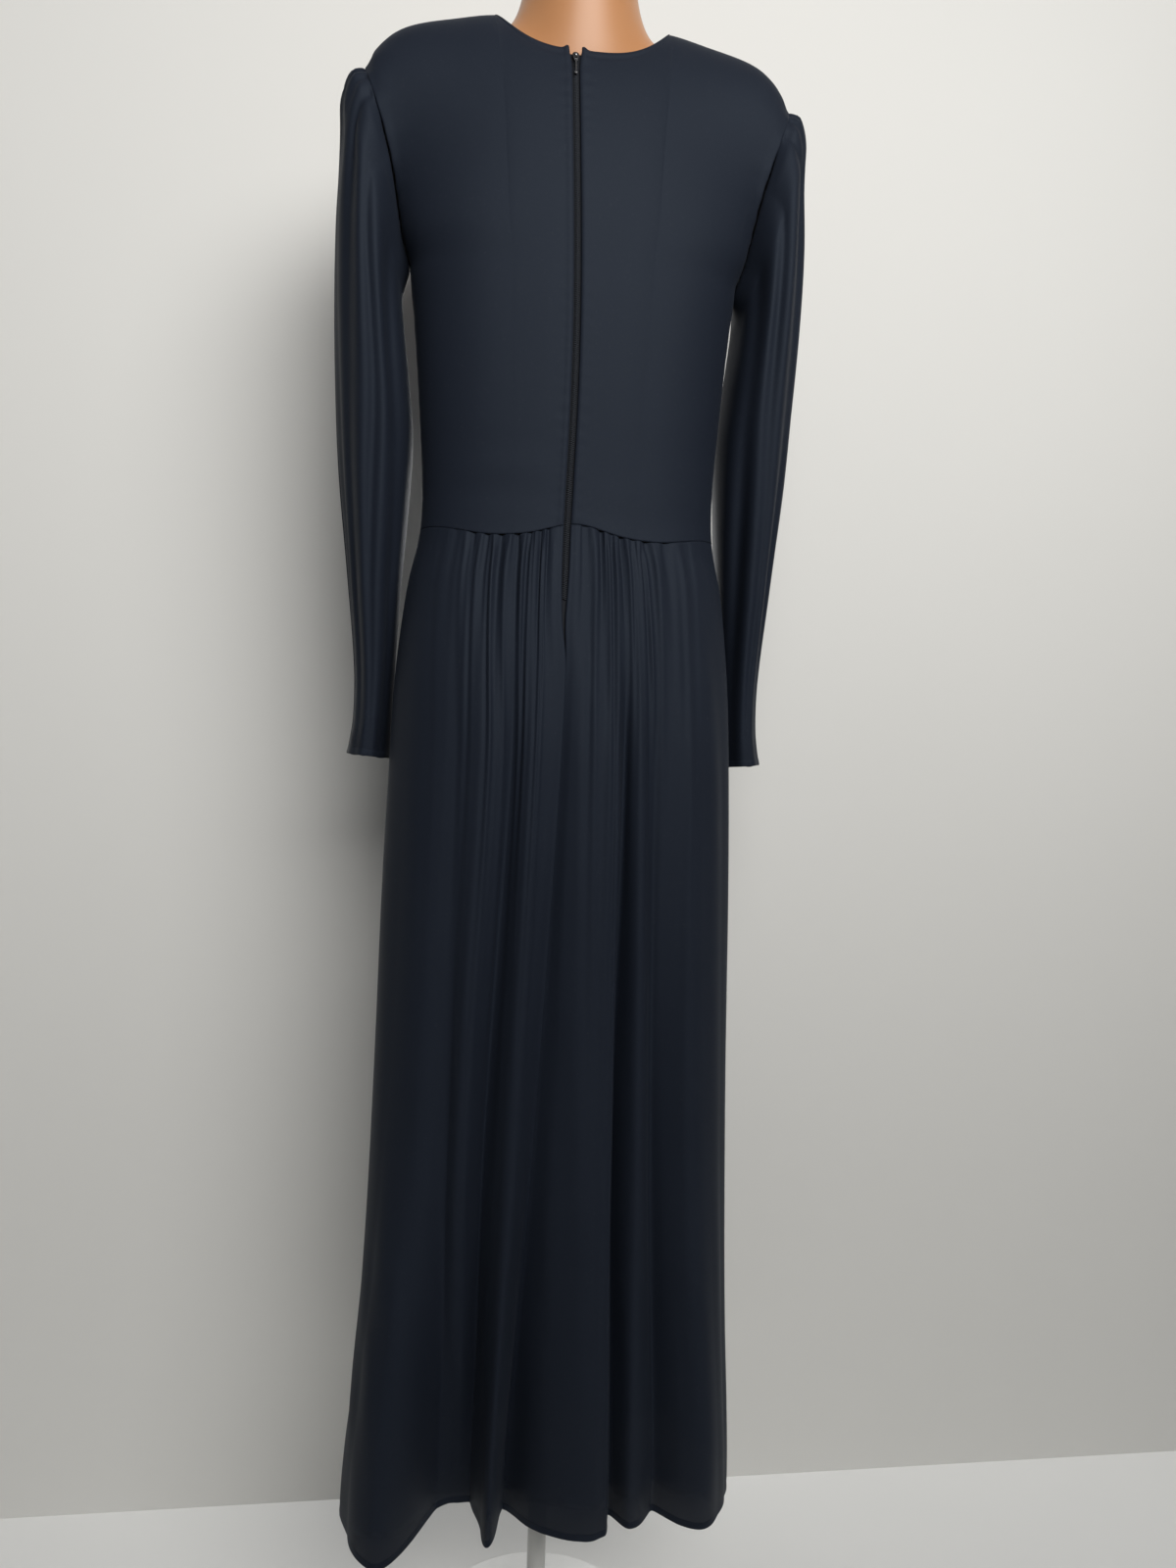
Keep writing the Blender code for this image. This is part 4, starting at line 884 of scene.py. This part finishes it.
def sleeve_surface(turn, share, seed):
    """The left sleeve's outer face: turn goes from the top by the back, share from armhole to wrist."""
    angle = turn * 2 * math.pi
    columns = [read(SLEEVE_RINGS, k, share) for k in range(1, 7)]
    outer_x, outer_z, inner_x, inner_z, middle_y, half_depth = columns
    zero = 0 * angle
    middle = np.stack([(outer_x + inner_x) / 2 + zero, middle_y + zero, (outer_z + inner_z) / 2 + zero], -1)
    cos, sin = np.cos(angle), np.sin(angle)
    spoke = np.stack([(outer_x - inner_x) / 2 * cos, half_depth * sin, (outer_z - inner_z) / 2 * cos], -1)
    draw = np.random.default_rng(seed)
    deep = 0
    for place, depth, width in SLEEVE_FOLDS:
        drift = 0.012 * np.sin(share * draw.uniform(5, 9) + draw.uniform(0, 6.28))
        size = depth * (1 + 0.25 * np.sin(share * draw.uniform(7, 13) + draw.uniform(0, 6.28)))
        deep = deep + size * bell(around(turn, place + drift), width)
    deep = deep * ease(share / 0.12) * mix(1.0, 0.35, ease((share - 0.5) / 0.5))
    length = np.linalg.norm(spoke, axis=-1)
    ring = middle + spoke * (1 - deep / length)[..., None]
    face = np.where(sin >= 0, 1, -1)
    up = (1 + cos) / 2
    at_armhole = np.arcsin(np.clip(up, 0, 1) ** (DOME_POWER / 2)) * 2 / math.pi
    seam = dome(face, np.ones(np.shape(up)), at_armhole)
    seam[..., 0] += SLEEVE_SEAM_GAP
    return mix(seam, ring, ease(share / SLEEVE_BLEND)[..., None] + 0 * seam)


def sleeve(node, side, seed):
    step = np.arange(SLEEVE_COLUMNS) / SLEEVE_COLUMNS
    turn = (step - 0.6 * np.sin(step * 2 * math.pi) / (2 * math.pi))[None, :]
    share = edged(SLEEVE_LENGTH, SLEEVE_ROWS)[:, None]
    grid = sleeve_surface(turn, share, seed)
    normals = face_normals(grid, closed=True)
    seam_run, cuff_run = edge_runs(grid)[:2]
    top = np.maximum(0, np.cos(turn * 2 * math.pi)) ** 0.7
    draw = np.random.default_rng(seed)
    gathers = 0
    for place, depth, width in CAP_GATHERS:
        drift = 0.01 * np.sin(seam_run / 0.03 + draw.uniform(0, 6.28)) * ease(seam_run / 0.03)
        fade = np.exp(-((seam_run / draw.uniform(0.04, 0.085)) ** 1.5))
        gathers = gathers + depth * bell(around(turn, place + drift), width * (1 + seam_run / 0.05)) * fade
    puff = top * ease(seam_run / PUFF_START) * bell(np.maximum(0, seam_run - PUFF_START), 0.04)
    notch = turned_edge(seam_run, 0.0034, 1.0) * (0.001 + 0.0022 * top)
    out = PUFF_RISE * puff - gathers * ease(seam_run / 0.0035) - notch + narrow_hem(cuff_run, 0.0009, 0.00018)
    round_it = turn * SLEEVE_ROUND
    calm = ease(seam_run / 0.04) * ease(cuff_run / 0.012)
    out = out + 0.0004 * calm * ripple(seam_run, round_it + seam_run * 0.05, seed + 3, 0.3, 0.05)
    out = out + 0.0014 * calm * ripple(seam_run, round_it - seam_run * 0.1, seed + 5, 0.2, 0.12)
    moved = grid + normals * out[..., None]
    mirror = np.array([side, 1, 1])
    return cloth_panel(node, moved * mirror, normals * mirror, closed=True, edge_last=True)


sleeve_left = sleeve("sleeve_left", 1, 21)
sleeve_right = sleeve("sleeve_right", -1, 34)
jersey.put_on(sleeve_left, sleeve_right)

# Zip: a woven polyester tape sewn behind the opening, with a nylon coil of interlocked
# teeth down its middle. The teeth are short bent loops, alternately from either side.
TAPE_DEPTH = 0.0031
TAPE_WIDTH = 0.015
TAPE_THICK = 0.0006
COIL_DEPTH = 0.0016
TOOTH_PITCH = 0.0016
TOOTH_RADIUS = 0.00036
TOOTH_MIDDLE = 0.00105
TOOTH_HALF = 0.0014
TOOTH_DIP = 0.00045
COIL_RISE = 0.062
zip_top = ZIP_TOP_Z - 0.004
zip_bottom = ZIP_TOP_Z - ZIP_LENGTH
centre_bodice = bodice_surface(np.zeros((1, 1)), np.linspace(0, 1, 400)[:, None], 0)[:, 0]
centre_skirt = skirt_surface(np.zeros((1, 1)), np.linspace(0, 1, 400)[:, None])[:, 0]
centre_line = np.concatenate([centre_skirt[:-1], centre_bodice])


def zip_line(z):
    """The cloth's outer face at the zip."""
    z = np.asarray(z, float)
    return np.stack([zip_x(z), np.interp(z, centre_line[:, 2], centre_line[:, 1]), z], -1)


def zip_down(z):
    """The way down the zip."""
    down = zip_line(np.asarray(z) - 0.004) - zip_line(np.asarray(z) + 0.004)
    return down / np.linalg.norm(down, axis=-1, keepdims=True)


def zip_out(z):
    """The way out of the cloth at the zip."""
    down = zip_down(z)
    return np.stack([0 * down[..., 0], -down[..., 2], down[..., 1]], -1)


def zip_tape():
    z = np.linspace(zip_bottom, zip_top, 260)
    side = np.linspace(-1, 1, 15) * TAPE_WIDTH / 2
    out = zip_out(z)[:, None]
    face = zip_line(z)[:, None] - out * TAPE_DEPTH + np.stack([side, 0 * side, 0 * side], -1)[None]
    flat = np.stack(np.broadcast_arrays(side[None], z[:, None]), -1)
    return shell("zip_tape_woven", face, np.broadcast_to(out, face.shape), TAPE_THICK, flat)


def coil():
    """Teeth on both sides, each a bent rod whose head reaches over the middle."""
    reach = np.linspace(-1, 1, 7)
    radius = TOOTH_RADIUS * np.sqrt(np.maximum(0, 1 - np.abs(reach) ** 6)) + 0.00006
    radius = radius * (1 + 0.35 * bell(reach + 0.62, 0.25))
    spin = np.arange(6)[:, None] * 2 * math.pi / 6
    dip = TOOTH_DIP * ((reach + 1) / 2) ** 3
    points, faces = [], []
    rod = grid_faces(len(reach), len(spin), closed=True)
    for side in (-1, 1):
        first = zip_bottom + COIL_RISE
        along_x = side * (TOOTH_MIDDLE + reach * TOOTH_HALF)
        for z in np.arange(first, zip_top - 0.001, TOOTH_PITCH) + (TOOTH_PITCH / 2 if side > 0 else 0):
            middle, out = zip_line(z), zip_out(z)
            centre = middle - out * COIL_DEPTH + np.outer(along_x, (1, 0, 0)) - np.outer(dip, out)
            spoke = np.cos(spin) * np.cross(out, (1, 0, 0)) + np.sin(spin) * out
            faces.append(rod + len(points) * len(reach) * len(spin))
            points.append((centre[:, None] + radius[:, None, None] * spoke[None]).reshape(-1, 3))
    return add_piece("zip_coil_teeth", np.concatenate(points), np.concatenate(faces), "dress")


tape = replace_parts(zip_tape(), "zip_tape")
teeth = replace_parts(coil(), "zip_chain")

tape_weave = Finish("zip_tape_weave", Specular_IOR_Level=0.15)
tape_place = tape_weave.place(flat=True)
ribs = tape_weave.waves(tape_place, 700.0, "Y", 0.3)
cords = tape_weave.waves(tape_place, 350.0, "X", 0.3)
tape_weave.set(
    Base_Color=tape_weave.blend((0.005, 0.0062, 0.009), (0.0105, 0.0125, 0.017), ribs),
    Roughness=cords * 0.15 + 0.62,
)
tape_weave.bump(ribs * 0.6 + cords * 0.4, 0.0001, 0.7)
tape_weave.put_on(tape)
nylon = Finish("nylon_coil", Specular_IOR_Level=0.22)
nylon_mottle = nylon.noise(900, 2)
nylon.set(
    Base_Color=nylon.blend((0.016, 0.019, 0.025), (0.029, 0.033, 0.041), nylon_mottle),
    Roughness=nylon_mottle * 0.15 + 0.42,
)
nylon.put_on(teeth)

# Slider and pull: the slider is die-cast zinc, plated dark nickel, with a bridge on its
# face. The pull tab is a flat cast bar that hangs from the bridge by an eye, and swings on it.
SLIDER_LENGTH = 0.01
SLIDER_THICK = 0.0014
BRIDGE_WIDTH = 0.0018
BRIDGE_LENGTH = 0.005
BRIDGE_HEIGHT = 0.0026
BRIDGE_BAR = 0.0008
PIN_DROP = 0.0008
PIN_HALF = 0.0004
PULL_LENGTH = 0.0195
PULL_THICK = 0.0009
PULL_REST = 0.0011
EYE_LENGTH = 0.0042
EYE_WIDTH = 0.0044
slider_z = zip_top - SLIDER_LENGTH / 2
slider_down = Vector(zip_down(slider_z))
slider_out = Vector(zip_out(slider_z))
slider_origin = Vector(zip_line(slider_z)) - slider_out * 0.0012


def band(made, first, second):
    """Faces between two rings of vertices."""
    for i in range(len(first)):
        k = (i + 1) % len(first)
        made.faces.new((first[i], first[k], second[k], second[i]))


def plate(outline, low, high, bevel, hole=None):
    """A flat cast piece: an outline in X and Z, between two depths in Y, with rounded edges."""
    made = bmesh.new()
    shapes = [outline, hole] if hole else [outline]
    lows, highs = ([[made.verts.new((x, y, z)) for x, z in shape] for shape in shapes] for y in (low, high))
    for first, second in zip(lows, highs):
        band(made, first, second)
    for rings in (lows, highs):
        if hole:
            band(made, *rings)
        else:
            made.faces.new(rings[0])
    bmesh.ops.recalc_face_normals(made, faces=made.faces)
    sharp = [e for e in made.edges if e.calc_face_angle(0) > 1.0]
    rounding = {"segments": 3, "profile": 0.5, "affect": "EDGES", "clamp_overlap": True}
    bmesh.ops.bevel(made, geom=sharp, offset=bevel, **rounding)
    return made


def rod_along(path, half_width, half_thick, square=3.0, count=16):
    """A bar with a rounded section that follows a path in Y and Z, closed at both ends."""
    made = bmesh.new()
    rings = []
    for i, point in enumerate(path):
        before, after = path[max(i - 1, 0)], path[min(i + 1, len(path) - 1)]
        forward = (Vector(after) - Vector(before)).normalized()
        side = Vector((-forward.y, forward.x))
        ring = []
        for j in range(count):
            turn = j / count * 2 * math.pi
            at = Vector(point) + side * half_thick * power(math.sin(turn), 2 / square)
            ring.append(made.verts.new((half_width * power(math.cos(turn), 2 / square), at.x, at.y)))
        rings.append(ring)
    for first, second in zip(rings, rings[1:]):
        band(made, first, second)
    made.faces.new(rings[0])
    made.faces.new(rings[-1])
    bmesh.ops.recalc_face_normals(made, faces=made.faces)
    return made


def cast_piece(name, parts, body, origin, down, out):
    """Joins the parts into one piece, with Y out of the cloth and Z up the zip."""
    mesh = bpy.data.meshes.new(name)
    whole = bmesh.new()
    for part in parts:
        loose = bpy.data.meshes.new(name)
        part.to_mesh(loose)
        part.free()
        whole.from_mesh(loose)
        bpy.data.meshes.remove(loose)
    whole.to_mesh(mesh)
    whole.free()
    mesh.transform(Matrix((Vector((1, 0, 0)), out, -down)).transposed().to_4x4())
    mesh.transform(Matrix.Translation(origin))
    piece = place_piece(name, mesh, body)
    mesh.set_sharp_from_angle(angle=math.radians(50))
    return piece


def slider_outline():
    """Wide shoulders at the top with a nose between the two throats, and a narrower foot."""
    half = SLIDER_LENGTH / 2
    right = [
        (0.0, 0.0), (0.0011, 0.02), (0.0021, 0.08), (0.0028, 0.17), (0.003, 0.27), (0.003, 0.42),
        (0.0027, 0.56), (0.0024, 0.68), (0.0022, 0.82), (0.0021, 0.94), (0.0018, 0.99), (0.001, 1.0),
    ]
    points = [(x, half - t * SLIDER_LENGTH) for x, t in right]
    return points + [(-x, z) for x, z in points[:0:-1]]


bridge_half = BRIDGE_LENGTH / 2 - 0.0004
bridge_path = [(SLIDER_THICK * 0.4, -bridge_half)]
for t in np.linspace(0, 1, 15):
    swell = (BRIDGE_HEIGHT - BRIDGE_BAR / 2) * math.sin(t * math.pi) ** 0.55
    bridge_path.append((SLIDER_THICK + swell, mix(-bridge_half, bridge_half, float(t))))
bridge_path.append((SLIDER_THICK * 0.4, bridge_half))
slider_plate = plate(slider_outline(), 0.0, SLIDER_THICK, 0.00035)
bridge = rod_along(bridge_path, BRIDGE_WIDTH / 2, BRIDGE_BAR / 2)
slider_frame = (slider_origin, slider_down, slider_out)
slider = cast_piece("zip_slider_cast", [slider_plate, bridge], "dress", *slider_frame)
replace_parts(slider, "zip_slider")

pin = slider_origin + slider_out * (SLIDER_THICK + (BRIDGE_HEIGHT - BRIDGE_BAR) / 2) + slider_down * PIN_DROP
tip_z = pin.z - PULL_LENGTH
tip = Vector(zip_line(tip_z)) + Vector(zip_out(tip_z)) * PULL_REST
tip.x = pin.x
tab_down = (tip - pin).normalized()
tab_out = Vector((0, -tab_down.z, tab_down.y))


def pull_outlines():
    """The outline of the round eye at the tab's top, and of the eye's hole."""
    middle, half = -(EYE_LENGTH + PIN_HALF) / 2, (EYE_LENGTH + 3 * PIN_HALF) / 2
    hole_half_width, hole_half = BRIDGE_WIDTH / 2 + 0.0003, (EYE_LENGTH - PIN_HALF) / 2
    outer, inner = [], []
    for i in range(48):
        c, s = math.cos(2 * math.pi * i / 48), math.sin(2 * math.pi * i / 48)
        outer.append((EYE_WIDTH / 2 * c, middle + half * s))
        inner.append((hole_half_width * power(c, 0.7), middle + hole_half * power(s, 0.7)))
    return outer, inner


eye_outer, eye_inner = pull_outlines()
blade_top = -EYE_LENGTH - 0.0004
blade = []
for t in np.linspace(0, 1, 24):
    z = mix(blade_top, -PULL_LENGTH, float(t))
    waisted = 0.00062 + 0.0009 * bell(t - 1.0, 0.2) + 0.0006 * bell(t, 0.1)
    end = math.sqrt(max(0.0, 1 - max(0.0, (t - 0.93) / 0.07) ** 2.4))
    blade.append((waisted * end + 0.00015, z))
blade_outline = blade + [(-x, z) for x, z in reversed(blade)]
eye_plate = plate(eye_outer, -PULL_THICK / 2, PULL_THICK / 2, 0.00018, eye_inner)
blade_plate = plate(blade_outline, -PULL_THICK / 2, PULL_THICK / 2, 0.00025)
pull = cast_piece("zip_pull_cast", [eye_plate, blade_plate], "pull_tab", pin, tab_down, tab_out)
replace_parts(pull, "zip_pull")

nickel = Finish("dark_nickel", Metallic=1.0)
tarnish = nickel.noise(500, 4, 0.6)
scratches = nickel.noise(5200, 2, 0.6, nickel.place((1, 1, 0.15)))
nickel.set(
    Base_Color=nickel.blend((0.11, 0.11, 0.12), (0.22, 0.22, 0.22), tarnish),
    Roughness=scratches * 0.18 + tarnish * 0.1 + 0.18,
)
nickel.bump(scratches, 0.00002, 0.4)
nickel.put_on(slider, pull)

# Stage, light and camera: a plain pale wall close behind the dress on its front side and a
# pale floor, a large soft light from the right of the camera, and a weak one from the front.
WALL_Y = -0.235


def room_piece(name, corners, faces):
    mesh = bpy.data.meshes.new(name)
    mesh.from_pydata(corners, [], faces)
    return show(name, mesh)


floor = room_piece("floor", [(-30, -30, 0), (30, -30, 0), (30, 30, 0), (-30, 30, 0)], [(0, 1, 2, 3)])
wall_corners = [(-6, WALL_Y, 0), (6, WALL_Y, 0), (6, WALL_Y, 5), (-6, WALL_Y, 5)]
backdrop = room_piece("wall", wall_corners, [(0, 3, 2, 1)])
# Three more walls close the room for the other views. Each is lit by itself and is clear from outside.
far_corners = [(x, y, z) for z in (0, 6) for x, y in ((-7, -7), (7, -7), (7, 7), (-7, 7))]
far_walls = room_piece("far_walls", far_corners, [(5, 6, 2, 1), (6, 7, 3, 2), (7, 4, 0, 3)])

floor_paint = Finish("pale_floor", Roughness=0.9)
floor_mottle = floor_paint.noise(3, 3)
floor_paint.set(Base_Color=floor_paint.blend((0.6, 0.6, 0.585), (0.63, 0.63, 0.615), floor_mottle))
floor_paint.put_on(floor)
wall_paint = Finish("pale_wall", Roughness=0.95)
wall_mottle = wall_paint.noise(2.5, 3)
wall_paint.set(
    Base_Color=wall_paint.blend((0.65, 0.645, 0.62), (0.67, 0.665, 0.64), wall_mottle),
    Alpha=1.0 - wall_paint.add("NewGeometry", output="Backfacing"),
)
wall_paint.put_on(backdrop)
backdrop.visible_shadow = False
far_paint = Finish("pale_far_walls", Roughness=0.95)
far_paint.set(
    Emission_Color=(0.8, 0.8, 0.78),
    Emission_Strength=0.55,
    Alpha=1.0 - far_paint.add("NewGeometry", output="Backfacing"),
)
far_paint.put_on(far_walls)
far_walls.visible_shadow = False
far_walls.visible_diffuse = False
far_walls.visible_glossy = False

world = bpy.data.worlds.new("studio")
bpy.context.scene.world = world
world.use_nodes = True
background = world.node_tree.nodes["Background"]
background.inputs["Color"].default_value = (0.8, 0.82, 0.86, 1)
background.inputs["Strength"].default_value = 0.1
bpy.context.scene.view_settings.view_transform = "Standard"


def area_light(name, place, target, size, watts, colour=(1, 1, 1), spread=180):
    data = bpy.data.lights.new(name, "AREA")
    data.shape = "RECTANGLE"
    data.size, data.size_y = size
    data.energy = watts
    data.color = colour
    data.spread = math.radians(spread)
    light = show(name, data)
    light.location = place
    light.rotation_euler = (Vector(target) - Vector(place)).to_track_quat("-Z", "Y").to_euler()


area_light("key", (-0.55, 2.3, 2.45), (-0.02, 0, 1.6), (2.4, 1.4), 27, (1.0, 0.99, 0.975), spread=84)
area_light("low_fill", (0.4, 2.2, 0.9), (0, 0, 0.8), (1.8, 1.2), 0.6, (1.0, 0.95, 0.88))
area_light("front_key", (-1.1, -2.5, 2.2), (0, 0, 1.1), (1.2, 1.2), 50)
area_light("front_fill", (0.4, -2.7, 1.2), (0, 0, 0.9), (0.8, 0.8), 18)

CAMERA_YAW = math.radians(7.93)
CAMERA_PITCH = math.radians(-1.68)
CAMERA_ROLL = math.radians(1.67)
CAMERA_PLACE = (0.129, 1.137, 0.882)
side_part, back_part = math.sin(CAMERA_YAW), math.cos(CAMERA_YAW)
level = math.cos(CAMERA_PITCH)
ahead = Vector((-side_part * level, -back_part * level, math.sin(CAMERA_PITCH)))
camera_data = bpy.data.cameras.new("camera")
camera_data.lens = 27.045
camera_data.sensor_width = 36
camera = show("camera", camera_data)
aim = ahead.to_track_quat("-Z", "Y").to_matrix() @ Matrix.Rotation(CAMERA_ROLL, 3, "Z")
camera.matrix_world = Matrix.Translation(CAMERA_PLACE) @ aim.to_4x4()
bpy.context.scene.camera = camera
